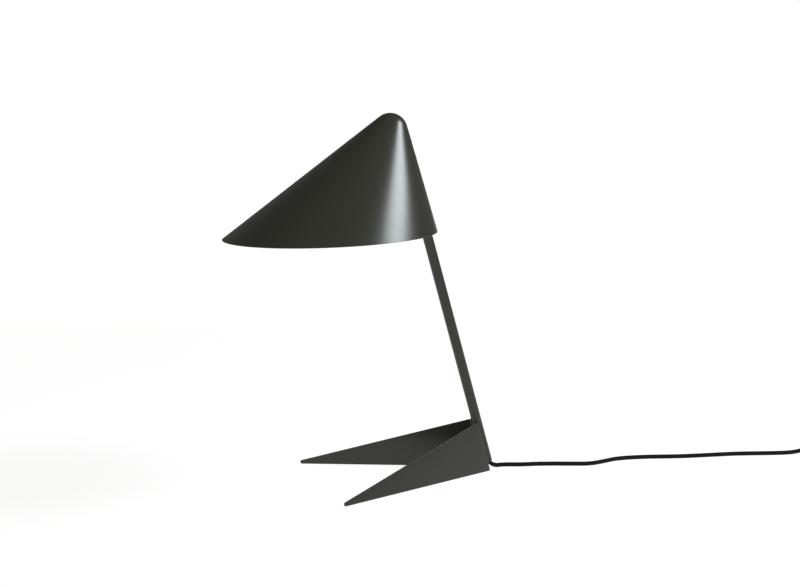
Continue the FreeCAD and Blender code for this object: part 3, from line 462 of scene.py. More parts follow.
# The black glass insulator of the bulb's cap, cast and fire-polished.
BLACK_GLASS = Finish("cast_black_glass", "0a0a0c", 0.08, "101013", cloud=2.0, swing=0.02, grain=1.5,
                     relief=0.01)
# The light sources' board: glass-filled epoxy under a white solder mask, with the weave just showing.
BOARD = Speckled("epoxy_board", "eceee8", 0.35, "e4e7df", cloud=6.0, grain=0.5, relief=0.01, speck=1.6,
                 speck_colour="d8c98a")
# The cord's braided polyester sleeve. One thread is about 0.4 mm wide, too fine to show, so the braid is
# drawn with fewer and wider threads; it gives the cord its dry, slightly grainy black.
# The braid's darker grooves and lighter crowns are painted shade and a painted highlight.
TEXTILE = Braid("braided_polyester", "09090a", 0.8, "151516", swing=0.08, relief=0.28, gloss=0.15,
                sheen=0.02)
# Insulated leads in the lamp: glossy extruded silicone, brown and blue.
LEAD_INSULATION = TwoLeads("extruded_silicone", "4a2f22", 0.34, "2c4a78", cloud=5.0, grain=0.5,
                           relief=0.006, ior=1.43)
# The switch and the plug: ABS from a spark-eroded mould, which leaves an even fine grain.
ABS = Finish("moulded_abs", "1c1c1d", 0.5, "202021", cloud=12.0, grain=0.35, relief=0.02, ior=1.53)
# The rocker is the same ABS from a polished mould, so it reads a little glossier than the housing.
ABS_POLISHED = Finish("polished_abs", "1f1f20", 0.28, "232324", cloud=8.0, grain=0.9, relief=0.004,
                      ior=1.53)
# The cable in the stem: extruded PVC, soft and slightly glossy.
PVC = Finish("extruded_pvc", "161617", 0.35, "1b1b1c", cloud=8.0, grain=0.5, relief=0.006, ior=1.53)
# The coil's tie: woven nylon with tiny loops, matt and fuzzy.
LOOP_TAPE = Finish("woven_nylon_tape", "151516", 0.9, "232324", cloud=1.2, grain=0.45, relief=0.12,
                   gloss=0.3, sheen=0.12)
# The painted studio floor: matt and light grey, until its glow lifts it to white.
STUDIO_FLOOR = Finish("painted_floor", "959595", 0.9, "929292", cloud=400.0, grain=3.0, relief=0.02)


def dress(nodes: dict[str, Object], finish: Finish, *names: str) -> None:
    """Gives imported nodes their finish.

    Args:
        nodes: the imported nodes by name.
        finish: the finish.
        *names: which nodes take it.
    """
    for name in names:
        mesh = nodes[name].data
        mesh.materials.clear()
        mesh.materials.append(finish.material())
        log.info("%s: %s", name, finish.name)


def merged_copy(node: Object, name: str, within: float, flat_degrees: float = 0.0) -> bpy.types.Mesh:
    """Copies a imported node's mesh and makes one closed skin of its loose triangles.

    Args:
        node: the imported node, which stays as it is.
        name: the new mesh's name.
        within: millimetres between points that are made one.
        flat_degrees: triangles that turn by less than this are made one face; 0 for none.

    Returns:
        The mesh, with no material.
    """
    mesh = node.data.copy()
    mesh.name = name
    skin = bmesh.new()
    skin.from_mesh(mesh)
    bmesh.ops.remove_doubles(skin, verts=skin.verts, dist=within * MM)
    if flat_degrees:
        bmesh.ops.dissolve_limit(skin, angle_limit=radians(flat_degrees), verts=skin.verts, edges=skin.edges)
    bmesh.ops.recalc_face_normals(skin, faces=skin.faces)
    skin.to_mesh(mesh)
    skin.free()
    mesh.materials.clear()
    return mesh


def joined(name: str, parts: Sequence[Object], finish: Finish, sharp_degrees: float) -> Object:
    """Makes one piece of several.

    Args:
        name: the new piece's name.
        parts: the pieces, which are used up.
        finish: what the new piece is made of.
        sharp_degrees: edges that turn by more than this stay sharp.

    Returns:
        The new piece.
    """
    mesh = bpy.data.meshes.new(name)
    whole = bmesh.new()
    for part in parts:
        whole.from_mesh(part.data)
        bpy.data.objects.remove(part)
    whole.to_mesh(mesh)
    whole.free()
    mesh.materials.append(finish.material())
    smooth(mesh, sharp_degrees)
    return link_piece(name, mesh)


# -------------------------------------------------------------------------------------------------- patterns

class Pattern:
    """A Geometry Nodes tree that is built here, run once and turned into a plain mesh."""

    def __init__(self, name: str, inputs: dict[str, Any]) -> None:
        """Makes the tree with its named inputs.

        Args:
            name: the tree's name.
            inputs: each input's name and value; a whole number, a number or a vector.
        """
        self.values = inputs
        self.tree = bpy.data.node_groups.new(name, "GeometryNodeTree")
        self.tree.interface.new_socket("Geometry", in_out="OUTPUT", socket_type="NodeSocketGeometry")
        kinds = {int: "NodeSocketInt", float: "NodeSocketFloat", tuple: "NodeSocketVector"}
        self.sockets = {}
        for label, value in inputs.items():
            socket = self.tree.interface.new_socket(label, in_out="INPUT", socket_type=kinds[type(value)])
            self.sockets[label] = socket.identifier
        self.given = self.tree.nodes.new("NodeGroupInput").outputs

    def node(self, kind: str, inputs: dict[Any, Any] | None = None, **settings: Any) -> Node:
        """Adds a node to this tree, as add_node does."""
        return add_node(self.tree, kind, inputs, **settings)

    def end(self, geometry: Node, finish: Finish) -> None:
        """Closes the tree: instances made real, and the material set.

        Args:
            geometry: what the tree makes.
            finish: what it is made of.
        """
        real = self.node("GeometryNodeRealizeInstances", {"Geometry": geometry})
        dressed = self.node("GeometryNodeSetMaterial", {"Geometry": real, "Material": finish.material()})
        self.node("NodeGroupOutput", {"Geometry": dressed})

    def piece(self, name: str, place: Matrix, **changed: Any) -> Object:
        """Runs the tree and gives its result as a plain piece.

        Args:
            name: the piece's name.
            place: where the tree's own frame stands in the lamp's.
            **changed: inputs that differ from the tree's own values, with _ for a space.

        Returns:
            An object at the origin, with its place in its mesh.
        """
        carrier = link_piece("carrier", bpy.data.meshes.new("carrier"))
        modifier = carrier.modifiers.new("pattern", "NODES")
        modifier.node_group = self.tree
        given = {key.replace("_", " "): value for key, value in changed.items()}
        for label, value in {**self.values, **given}.items():
            modifier[self.sockets[label]] = value
        bpy.context.view_layer.update()
        evaluated = carrier.evaluated_get(bpy.context.evaluated_depsgraph_get())
        mesh = bpy.data.meshes.new_from_object(evaluated)
        bpy.data.objects.remove(carrier)
        mesh.name = name
        mesh.transform(place)
        return link_piece(name, mesh)


ROD_SIDES = 40
RINGS_PER_RIB = 14.0
BAR_SIDES = 8
BAR_RINGS = 6


def ribbed_rod(finish: Finish) -> Pattern:
    """A tapered round rod with evenly spaced grooves: a strain relief's rings, or a weld's ripples.

    Args:
        finish: what it is made of.

    Returns:
        The pattern, along +Z from its origin, in metres.
    """
    pattern = Pattern("ribbed_rod", {
        "Length": 0.024, "Start Radius": 0.0043, "End Radius": 0.0033, "Ribs": 5, "Groove Depth": 0.00045,
        "Groove Share": 0.2, "Waver": 0.0, "Seed": 3})
    given = pattern.given
    top = pattern.node("ShaderNodeCombineXYZ", {"Z": given["Length"]})
    line = pattern.node("GeometryNodeCurvePrimitiveLine", {"End": top})
    count = pattern.node("ShaderNodeMath", {0: given["Ribs"], 1: RINGS_PER_RIB}, operation="MULTIPLY")
    fine = pattern.node("GeometryNodeResampleCurve", {"Curve": line, "Count": count})
    share = pattern.node("GeometryNodeSplineParameter").outputs["Factor"]
    taper = pattern.node("ShaderNodeMapRange", {
        "Value": share, "To Min": given["Start Radius"], "To Max": given["End Radius"]})
    ribs = pattern.node("ShaderNodeMath", {0: share, 1: given["Ribs"]}, operation="MULTIPLY")
    part = pattern.node("ShaderNodeMath", {0: ribs, 1: 0.5}, operation="PINGPONG")
    groove = pattern.node("ShaderNodeMapRange", {
        "Value": part, "From Max": given["Groove Share"], "To Min": given["Groove Depth"], "To Max": 0.0},
        interpolation_type="SMOOTHSTEP")
    radius = pattern.node("ShaderNodeMath", {0: taper, 1: groove}, operation="SUBTRACT")
    stray = pattern.node("FunctionNodeRandomValue", {"Min": -1.0, "Max": 1.0, "Seed": given["Seed"]},
                         data_type="FLOAT")
    stray_by = pattern.node("ShaderNodeMath", {0: stray.outputs[1], 1: given["Waver"]}, operation="MULTIPLY")
    final = pattern.node("ShaderNodeMath", {0: radius, 1: stray_by}, operation="ADD")
    ring = pattern.node("GeometryNodeCurvePrimitiveCircle", {"Resolution": ROD_SIDES, "Radius": 1.0})
    body = pattern.node("GeometryNodeCurveToMesh", {
        "Curve": fine, "Profile Curve": ring, "Scale": final, "Fill Caps": True})
    pattern.end(body, finish)
    return pattern


class Layout(Enum):
    """How a set of bars stands."""

    RING = "ring"
    ROW = "row"


def bars(layout: Layout, finish: Finish) -> Pattern:
    """Upright bars with rounded ends, in a ring about Z or in a row between two points.

    Args:
        layout: ring or row.
        finish: what they are made of.

    Returns:
        The pattern.
    """
    pattern = Pattern(f"bars_in_a_{layout.value}", {
        "Count": 36, "Ring Radius": 0.013, "Start": (0.0, 0.0, 0.0), "End": (0.02, 0.0, 0.0),
        "Bar Radius": 0.0005, "Bar Length": 0.01})
    given = pattern.given
    if layout is Layout.RING:
        places = pattern.node("GeometryNodeMeshCircle", {
            "Vertices": given["Count"], "Radius": given["Ring Radius"]})
    else:
        places = pattern.node("GeometryNodeMeshLine", {
            "Count": given["Count"], "Start Location": given["Start"], "Offset": given["End"]},
            mode="END_POINTS")
    half = pattern.node("ShaderNodeMath", {0: given["Bar Length"], 1: 0.5}, operation="MULTIPLY")
    ball = pattern.node("GeometryNodeMeshUVSphere", {
        "Segments": BAR_SIDES, "Rings": BAR_RINGS, "Radius": 1.0})
    size = pattern.node("ShaderNodeCombineXYZ", {
        "X": given["Bar Radius"], "Y": given["Bar Radius"], "Z": half})
    bar = pattern.node("GeometryNodeTransform", {"Geometry": ball, "Scale": size})
    smoothed = pattern.node("GeometryNodeSetShadeSmooth", {"Geometry": bar})
    set_out = pattern.node("GeometryNodeInstanceOnPoints", {"Points": places, "Instance": smoothed})
    pattern.end(set_out, finish)
    return pattern


# --------------------------------------------------------------------------------------------- base and stem

@dataclass
class Stem:
    """The leaning tube with its bush and grommet, and the base that it is welded to."""

    nodes: dict[str, Object]
    lean: float = 15.75             # degrees forward of upright
    radius: float = 6.0
    setback: float = 2.4            # axis behind the web's outer face
    foot: float = 9.5               # lower end, along the axis from the floor line
    web_height: float = 63.3
    weld_radius: float = 1.7
    weld_taper: float = 0.94        # radius at a bead's far end, as a share of the radius
    weld_end_gap: float = 2.5
    weld_ripple: float = 1.5        # from one ripple of the weld to the next
    weld_groove: float = 0.16       # how deep a ripple is
    weld_groove_share: float = 0.5  # how much of a ripple its groove takes
    weld_waver: float = 0.02        # how far the torch's hand strays
    weld_seeds: tuple[int, int] = (3, 8)
    merge_within: float = 0.002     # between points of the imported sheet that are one
    flat_within: float = 0.5        # degrees between triangles of one flat face
    edge_radius: float = 0.45       # how far the sheet's cut edges are rounded
    edge_steps: int = 3
    edge_from: float = 40.0         # degrees that an edge turns by where it is rounded
    frame: Matrix = field(init=False)

    def __post_init__(self) -> None:
        """Finds the stem's own frame: Z up the axis, X to its back, origin level with the web's foot."""
        lean = radians(self.lean)
        up, back = Vector((-sin(lean), 0, cos(lean))), Vector((cos(lean), 0, sin(lean)))
        low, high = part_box("stem_tube")
        length = (high.z - low.z - 2 * self.radius * MM * sin(lean)) / cos(lean)
        self.frame = axes(middle_of("stem_tube") - up * (length / 2 + self.foot * MM), back, up)

    def dress(self) -> None:
        """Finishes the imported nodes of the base, the tube and what sits in it."""
        dress(self.nodes, POWDER_COAT, "stem_tube")
        dress(self.nodes, NYLON, "cord_bush")
        dress(self.nodes, RUBBER, "lead_grommet")
        dress(self.nodes, PVC, "stem_cable")

    def build_base(self) -> None:
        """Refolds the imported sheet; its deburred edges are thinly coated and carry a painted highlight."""
        mesh = merged_copy(self.nodes["base_sheet"], "folded_base", self.merge_within, self.flat_within)
        for finish in (POWDER_COAT, POWDER_COAT_EDGE_HIGHLIGHT):
            mesh.materials.append(finish.material())
        smooth(mesh, sharp_degrees=25.0)
        piece = link_piece("folded_base", mesh)
        deburr = piece.modifiers.new("deburr", "BEVEL")
        deburr.width = self.edge_radius * MM
        deburr.segments = self.edge_steps
        deburr.limit_method = "ANGLE"
        deburr.angle_limit = radians(self.edge_from)
        # The rounded edges take the lighter coat: partly a thinner coat, mostly a painted highlight.
        deburr.material = 1
        deburr.use_clamp_overlap = True
        finish_piece(piece, Body.BASE, ["base_sheet"])

    def build_welds(self) -> None:
        """Lays the two beads in the corners between tube and web, rippled as a torch leaves them."""
        start, length = self.foot + self.weld_end_gap, self.web_height - self.foot - 2 * self.weld_end_gap
        corner = sqrt(self.radius**2 - self.setback**2)
        rod = ribbed_rod(POWDER_COAT)
        beads = []
        for side, seed in zip((-1, 1), self.weld_seeds):
            place = self.frame @ Matrix.Translation(Vector((-self.setback, side * corner, start)) * MM)
            beads.append(rod.piece(
                "bead", place, Length=length * MM, Start_Radius=self.weld_radius * MM,
                End_Radius=self.weld_taper * self.weld_radius * MM, Ribs=round(length / self.weld_ripple),
                Groove_Depth=self.weld_groove * MM, Groove_Share=self.weld_groove_share,
                Waver=self.weld_waver * MM, Seed=seed))
        both = joined("weld_beads", beads, POWDER_COAT, sharp_degrees=89.0)
        finish_piece(both, Body.BASE, ["stem_welds"])


# ----------------------------------------------------------------------------------------------------- shade

@dataclass
class Shade:
    """The spun shade: a round cone with a rounded tip, cut off by a nearly level plane."""

    half_angle: float = 34.2
    tilt: float = 19.0              # degrees that the axis leans forward as it goes down
    drop: float = 148.8             # sharp apex down to the rim plane
    rim_slope: float = 1.75         # degrees that the rim falls towards the front
    wall: float = 1.2
    tip_radius: float = 20.2
    edge_roundness: float = 0.4     # how far the rim's edge is rounded out
    segments: int = 240
    rings: int = 56                 # of each wall
    crowding: float = 2.0           # 1 for even rings, more where they crowd towards the tip
    edge_rows: int = 7
    merge_within: float = 0.01      # between points of two bands that are one
    frame: Matrix = field(init=False)

    def __post_init__(self) -> None:
        """Finds the cone's own frame: Z down its axis from the sharp apex, X to the back."""
        tilt, cone = radians(self.tilt), radians(self.half_angle)
        down, back = Vector((-sin(tilt), 0, -cos(tilt))), Vector((cos(tilt), 0, -sin(tilt)))
        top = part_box("shade_shell")[1].z
        apex_height = top + self.tip_radius * MM * (cos(tilt) / sin(cone) - 1)
        on_axis = middle_of("holder_washer")
        self.frame = axes(on_axis - down * ((apex_height - on_axis.z) / cos(tilt)), back, down)

    def wall_points(self, pattern: Pattern, angle: Node, share: NodeSocket, inset: float) -> Node:
        """Points of the cone moved in by the inset, from its tip to where the rim plane cuts it.

        Args:
            pattern: the tree that they are added to.
            angle: round the axis, from the back.
            share: 0 at the tip and 1 at the rim.
            inset: millimetres inside the outer surface.

        Returns:
            A node that gives the position.
        """
        tilt, cone, slope = radians(self.tilt), radians(self.half_angle), radians(self.rim_slope)
        steep, start = tan(cone), inset * MM / sin(cone)
        radius = (self.tip_radius - inset) * MM
        centre = start + radius / sin(cone)
        # The rim plane's normal, in the cone's frame.
        across = cos(tilt) * -sin(slope) - sin(tilt) * cos(slope)
        down = sin(tilt) * sin(slope) - cos(tilt) * cos(slope)
        level = self.drop * MM * cos(slope)

        def maths(operation: str, first: Any, second: Any = 0.0) -> Node:
            """Adds one sum to the tree."""
            return pattern.node("ShaderNodeMath", {0: first, 1: second}, operation=operation)

        cosine = maths("COSINE", angle)
        above = maths("SUBTRACT", maths("MULTIPLY", cosine, start * steep * across), level)
        below = maths("ADD", maths("MULTIPLY", cosine, steep * across), down)
        run = maths("SUBTRACT", maths("DIVIDE", above, below), centre - radius)
        depth = maths("ADD", maths("MULTIPLY", run, maths("POWER", share, self.crowding)), centre - radius)
        off_centre = maths("SUBTRACT", centre, depth)
        inside = maths("SUBTRACT", radius**2, maths("MULTIPLY", off_centre, off_centre))
        ball = maths("SQRT", maths("MAXIMUM", inside, 0.0))
        straight = maths("MULTIPLY", maths("SUBTRACT", depth, start), steep)
        on_ball = maths("LESS_THAN", depth, centre - radius * sin(cone))
        width = pattern.node("GeometryNodeSwitch", {"Switch": on_ball, "False": straight, "True": ball},
                             input_type="FLOAT")
        to_back = maths("MULTIPLY", width, cosine)
        to_side = maths("MULTIPLY", width, maths("SINE", angle))
        return pattern.node("ShaderNodeCombineXYZ", {"X": to_back, "Y": to_side, "Z": depth})

    def surface(self, pattern: Pattern, rows: int, inside: bool,
                points: Callable[[Node, NodeSocket], Node]) -> Node:
        """A closed band of faces round the axis.

        Args:
            pattern: the tree that it is added to.
            rows: how many rings of points it has.
            inside: whether it is the inner wall, whose faces look the other way.
            points: gives the position for an angle and a share of the way down.

        Returns:
            The node that gives the band, with its faces marked as inside or not.
        """
        grid = pattern.node("GeometryNodeMeshGrid", {
            "Size X": 1.0, "Size Y": 1.0, "Vertices X": self.segments + 1, "Vertices Y": rows})
        parts = pattern.node("ShaderNodeSeparateXYZ", {"Vector": pattern.node("GeometryNodeInputPosition")})
        angle = pattern.node("ShaderNodeMath", {0: parts.outputs["X"], 1: 2 * pi}, operation="MULTIPLY")
        share = pattern.node("ShaderNodeMath", {0: parts.outputs["Y"], 1: 0.5}, operation="ADD")
        place = points(angle, share.outputs[0])
        moved = pattern.node("GeometryNodeSetPosition", {"Geometry": grid, "Position": place})
        if inside:
            moved = pattern.node("GeometryNodeFlipFaces", {"Mesh": moved})
        return pattern.node("GeometryNodeStoreNamedAttribute", {
            "Geometry": moved, "Name": "inside", "Value": inside}, data_type="BOOLEAN", domain="FACE")

    def build(self) -> None:
        """Spins the shade: dark outside, white inside, with a rounded edge between the two walls."""
        pattern = Pattern("trimmed_cone", {
            "Merge Distance": self.merge_within * MM, "Edge Roundness": self.edge_roundness * MM})
        at_rim = pattern.node("ShaderNodeMath", {0: 1.0, 1: 0.0}, operation="ADD").outputs[0]

        def outer(angle: Node, share: NodeSocket) -> Node:
            """The outer wall."""
            return self.wall_points(pattern, angle, share, 0.0)

        def inner(angle: Node, share: NodeSocket) -> Node:
            """The inner wall."""
            return self.wall_points(pattern, angle, share, self.wall)

        def edge(angle: Node, share: NodeSocket) -> Node:
            """Leads from the outer wall to the inner one, round the rim's edge.

            Args:
                angle: round the axis, from the back.
                share: 0 at the outer wall and 1 at the inner one.

            Returns:
                A node that gives the position.
            """
            # A Mix node's inputs 4 and 5 are its two vectors, and its output 1 is theirs.
            flat = pattern.node("ShaderNodeMix", {
                0: share, 4: outer(angle, at_rim), 5: inner(angle, at_rim)}, data_type="VECTOR")
            turn = pattern.node("ShaderNodeMath", {0: share, 1: pi}, operation="MULTIPLY")
            swell = pattern.node("ShaderNodeMath", {0: turn}, operation="SINE")
            proud = pattern.node("ShaderNodeMath", {0: swell, 1: pattern.given["Edge Roundness"]},
                                 operation="MULTIPLY")
            lower = pattern.node("ShaderNodeCombineXYZ", {"Z": proud})
            return pattern.node("ShaderNodeVectorMath", {0: flat.outputs[1], 1: lower}, operation="ADD")

        bands = [self.surface(pattern, self.rings, False, outer),
                 self.surface(pattern, self.rings, True, inner),
                 self.surface(pattern, self.edge_rows, False, edge)]
        whole = pattern.node("GeometryNodeJoinGeometry")
        for band in bands:
            pattern.tree.links.new(band.outputs[0], whole.inputs[0])
        merged = pattern.node("GeometryNodeMergeByDistance", {
            "Geometry": whole, "Distance": pattern.given["Merge Distance"]})
        real = pattern.node("GeometryNodeRealizeInstances", {"Geometry": merged})
        marked = pattern.node("GeometryNodeInputNamedAttribute", {"Name": "inside"}, data_type="BOOLEAN")
        dark = pattern.node("GeometryNodeSetMaterial", {
            "Geometry": real, "Material": POWDER_COAT.material()})
        white = pattern.node("GeometryNodeSetMaterial", {
            "Geometry": dark, "Selection": marked, "Material": POWDER_COAT_WHITE.material()})
        pattern.node("NodeGroupOutput", {"Geometry": white})
        piece = pattern.piece("spun_shade", self.frame)
        smooth(piece.data, sharp_degrees=40.0)
        finish_piece(piece, Body.SHADE, ["shade_shell"])


# --------------------------------------------------------------------------------------- cord and its pieces

@dataclass
class Cord:
    """The braided cord: out of the bush, along the table, through the switch, and coiled beside its plug.

    The points are those of its spline, and those with two numbers lie on the table.
    """

    diameter: float = 5.2
    length: float = 1710.0
    leaves: Point = (0.156756, 0.0, 0.009795)       # metres, where it comes out of the bush
    bush: tuple[Point, ...] = ((154.450, 0, 17.976), (156.133, 0, 12.008), (160.7, 0, 6.2))
    on_table: tuple[tuple[float, float], ...] = (
        (167.6, 0.2), (177.0, 1.2), (186.5, -1.6), (199.0, -6.4), (217.0, -9.2), (238.0, -15.4),
        (259.5, -23.4), (279.5, -30.2), (299.0, -26.2), (319.0, -19.4), (341.0, -20.4), (366.0, -25.2),
        (398.0, -35.0), (434.0, -41.2), (473.0, -46.4), (510.0, -57.4), (545.0, -66.0))
    switch: tuple[Point, ...] = (
        (564.135, -68.279, 7.0), (575, -70, 7.6), (681.67, -86.895, 7.6), (691.547, -88.459, 6.8))
    to_coil: tuple[tuple[float, float], ...] = ((703.0, -94.0), (722.0, -100.4), (741.0, -102.4))
    to_plug: tuple[Point, ...] = (
        (777.8, -52, 7.8), (776.4, -37, 5.8), (771.2, -22.5, 4.0), (761, -10.5, 4.4), (748, -5, 6.2),
        (738.85, -4.185, 6.8))
    coil_centre: tuple[float, float] = (741.0, -66.0)
    coil_turns: float = 5.25
    turn_points: int = 20
    # Turns since the coil's start, and the radius there: three rings inwards, then the same three outwards.
    coil_rings: tuple[tuple[float, float], ...] = (
        (0.0, 36.4), (0.75, 36.4), (0.9, 31.2), (1.75, 31.2), (1.9, 26.0), (3.45, 26.0), (3.6, 31.2),
        (4.45, 31.2), (4.6, 36.4), (5.25, 36.4))
    # Turns since the coil's start, and the cord's middle above the table: one layer, then a second on top.
    coil_layers: tuple[tuple[float, float], ...] = ((0.0, 2.6), (2.6, 2.6), (2.8, 7.8), (5.25, 7.8))
    tie_angle: float = 172.0        # degrees round the coil
    tie_width: float = 15.0
    tie_thickness: float = 1.1
    tie_pressed: float = 0.1        # share of its thickness that the strap keeps under the coil
    tie_corner: float = 3.0         # how far its corners are rounded
    tie_corner_steps: int = 6
    tie_lift: float = 0.05          # above the table

    @staticmethod
    def eased(steps: Sequence[tuple[float, float]], turn: float) -> float:
        """Reads a list of levels with soft steps between them.

        Args:
            steps: turns and levels, in order.
            turn: where it is read.

        Returns:
            The level there.
        """
        for (start, low), (end, high) in zip(steps, steps[1:]):
            if turn <= end:
                share = (turn - start) / (end - start)
                return low + (high - low) * share * share * (3 - 2 * share)
        return steps[-1][1]

    def coil(self) -> list[Point]:
        """Winds the coil.

        Returns:
            Its points, a little outside its turns because the spline cuts inside them.
        """
        wide = 1 / cos(pi / self.turn_points)
        points = []
        for step in range(1, round(self.coil_turns * self.turn_points) + 1):
            turn = step / self.turn_points
            radius, angle = wide * self.eased(self.coil_rings, turn), 2 * pi * turn - pi / 2
            points.append((self.coil_centre[0] + radius * cos(angle),
                           self.coil_centre[1] + radius * sin(angle),
                           self.eased(self.coil_layers, turn)))
        return points

    def route(self) -> list[Vector]:
        """Puts the stretches of the cord together.

        Returns:
            All the points of its spline, in metres.
        """
        lying = self.diameter / 2
        run = [*self.bush, *((x, y, lying) for x, y in self.on_table), *self.switch,
               *((x, y, lying) for x, y in self.to_coil), *self.coil(), *self.to_plug]
        return [Vector(point) * MM for point in run]

    def build(self) -> Object:
        """Lays the cord as one smooth spline.

        Returns:
            The cord.
        """
        route = self.route()
        curve = bpy.data.curves.new("braided_cord", "CURVE")
        curve.dimensions = "3D"
        curve.resolution_u = 8
        curve.bevel_depth = self.diameter / 2 * MM
        curve.bevel_resolution = 5
        curve.use_fill_caps = True
        spline = curve.splines.new("NURBS")
        spline.points.add(len(route) - 1)
        for point, place in zip(spline.points, route):
            point.co = (*place, 1.0)
        spline.order_u = 3
        spline.use_endpoint_u = True
        spline.use_smooth = True
        curve.materials.append(TEXTILE.material())
        piece = bpy.data.objects.new("braided_cord", curve)
        bpy.context.scene.collection.objects.link(piece)
        return finish_piece(piece, Body.BASE,
                            ["power_cord", "cord_to_coil", "cord_coil", "cord_to_plug"])

    def middle_ring(self) -> float:
        """The radius of the coil's middle ring."""
        return self.coil_rings[2][1]

    def tie_outline(self) -> list[tuple[Vector, float]]:
        """Draws the strap's loop round the coil's turns, as a rectangle with rounded corners.

        Returns:
            For each point, how far it is from the coil's centre and how high, and the strap's thickness.
        """
        corner, middle, top = self.tie_corner, self.middle_ring(), 2 * self.diameter
        outline = []
        for quarter, (side, level) in enumerate(((1, 1), (-1, 1), (-1, -1), (1, -1))):
            across = middle + side * (2 * self.diameter - corner)
            level_up = top - corner if level > 0 else corner
            for step in range(self.tie_corner_steps + 1):
                angle = (quarter + step / self.tie_corner_steps) * pi / 2
                up = level_up + corner * sin(angle)
                thickness = self.tie_thickness * (self.tie_pressed if up < corner else 1.0)
                outline.append((Vector((across + corner * cos(angle), up)), thickness))
        return outline

    def build_tie(self) -> Object:
        """Wraps a woven strap round the coil's turns.

        Returns:
            The strap.
        """
        angle = radians(self.tie_angle)
        out, along = Vector((cos(angle), sin(angle), 0)), Vector((-sin(angle), cos(angle), 0))
        centre = Vector((*self.coil_centre, 0))
        inside = Vector((self.middle_ring(), self.diameter))
        mesh = bpy.data.meshes.new("coil_tie")
        build = bmesh.new()
        rows = []
        for point, thickness in self.tie_outline():
            outer = point + (point - inside).normalized() * thickness
            row = []
            for spot, end in ((point, -1), (point, 1), (outer, 1), (outer, -1)):
                place = centre + out * spot.x + along * end * self.tie_width / 2
                place.z = max(spot.y, self.tie_lift)
                row.append(build.verts.new(place * MM))
            rows.append(row)
        for row, following in zip(rows, rows[1:] + rows[:1]):
            for index in range(4):
                after = (index + 1) % 4
                build.faces.new((row[index], row[after], following[after], following[index]))
        bmesh.ops.recalc_face_normals(build, faces=build.faces)
        build.to_mesh(mesh)
        build.free()
        mesh.materials.append(LOOP_TAPE.material())
        smooth(mesh, sharp_degrees=40.0)
        return finish_piece(link_piece("coil_tie", mesh), Body.BASE)


class End(Enum):
    """Which end of the switch a relief is on."""

    IN = -1
    OUT = 1


@dataclass
class Switch:
    """The in-line rocker switch, with a ribbed relief at each end."""

    nodes: dict[str, Object]
    heading: float = -9.0
    body_length: float = 60.0
    cord_height: float = 7.6
    relief_length: float = 24.0
    relief_ribs: int = 5
    relief_start: float = 4.3       # radius at the housing
    relief_end: float = 3.3         # and at the tip

    def dress(self) -> None:
        """Finishes the housing, the rocker and what is inside."""
        dress(self.nodes, ABS, "switch_base", "switch_cover")
        dress(self.nodes, ABS_POLISHED, "switch_rocker")
        dress(self.nodes, ZINC_STEEL, "rocker_pin", "switch_screws")
        dress(self.nodes, STEATITE, "switch_contacts")

    def build_relief(self, middle: Vector, heading: float, name: str) -> Object:
        """Moulds one ribbed relief.

        Args:
            middle: the middle of its thick end.
            heading: which way it tapers, in degrees from +X.
            name: the piece's name.

        Returns:
            The relief.
        """
        way = Vector((cos(radians(heading)), sin(radians(heading)), 0))
        place = axes(middle, Vector((0, 0, 1)), way)
        piece = ribbed_rod(RUBBER).piece(
            name, place, Length=self.relief_length * MM, Start_Radius=self.relief_start * MM,
            End_Radius=self.relief_end * MM, Ribs=self.relief_ribs)
        smooth(piece.data, sharp_degrees=50.0)
        return piece

    def build(self) -> list[Object]:
        """Makes both reliefs.

        Returns:
            The two pieces.
        """
        middle = middle_of("switch_base")
        reliefs = []
        for end in End:
            heading = self.heading if end is End.OUT else self.heading + 180
            way = Vector((cos(radians(heading)), sin(radians(heading)), 0))
            start = Vector((middle.x, middle.y, self.cord_height * MM)) + way * self.body_length / 2 * MM
            relief = self.build_relief(start, heading, f"switch_relief_{end.name.lower()}")
            reliefs.append(finish_piece(relief, Body.BASE, ["switch_reliefs"]))
        return reliefs


@dataclass
class Plug(Switch):
    """The flat two-pin plug, with grip ribs on its flanks and a ribbed relief."""

    heading: float = -4.0
    body_length: float = 36.0
    body_width: float = 26.0
    cord_height: float = 6.8
    grip_ribs: int = 7
    grip_start: float = 5.0         # from the pins' face to the first rib
    grip_end: float = 17.0
    grip_radius: float = 0.75
    grip_length: float = 9.5
    grip_sink: float = 0.1          # how deep the ribs' middles sit in the flank

    def dress(self) -> None:
        """Finishes the body, the pins and their sleeves."""
        dress(self.nodes, ABS, "plug_body")
        dress(self.nodes, NICKEL, "plug_pins")
        dress(self.nodes, ABS_POLISHED, "plug_sleeves")

    def build(self) -> list[Object]:
        """Makes the relief and the grip ribs.

        Returns:
            The pieces.
        """
        way = Vector((cos(radians(self.heading)), sin(radians(self.heading)), 0))
        start = middle_of("plug_relief") - way * self.relief_length / 2 * MM
        start.z = self.cord_height * MM
        relief = finish_piece(self.build_relief(start, self.heading, "plug_strain_relief"), Body.BASE,
                              ["plug_relief"])
        face = start - way * self.body_length * MM
        frame = axes(Vector((face.x, face.y, start.z)), way, Vector((0, 0, 1)))
        pattern = bars(Layout.ROW, ABS)
        rows = []
        for side in (-1, 1):
            flank = side * (self.body_width / 2 - self.grip_sink) * MM
            rows.append(pattern.piece(
                "ribs", frame, Count=self.grip_ribs, Start=(self.grip_start * MM, flank, 0.0),
                End=(self.grip_end * MM, flank, 0.0), Bar_Radius=self.grip_radius * MM,
                Bar_Length=self.grip_length * MM))
        ribs = joined("plug_grip_ribs", rows, ABS, sharp_degrees=60.0)
        finish_piece(ribs, Body.BASE)
        return [relief, ribs]


# ------------------------------------------------------------------------------------------ knuckle and lamp

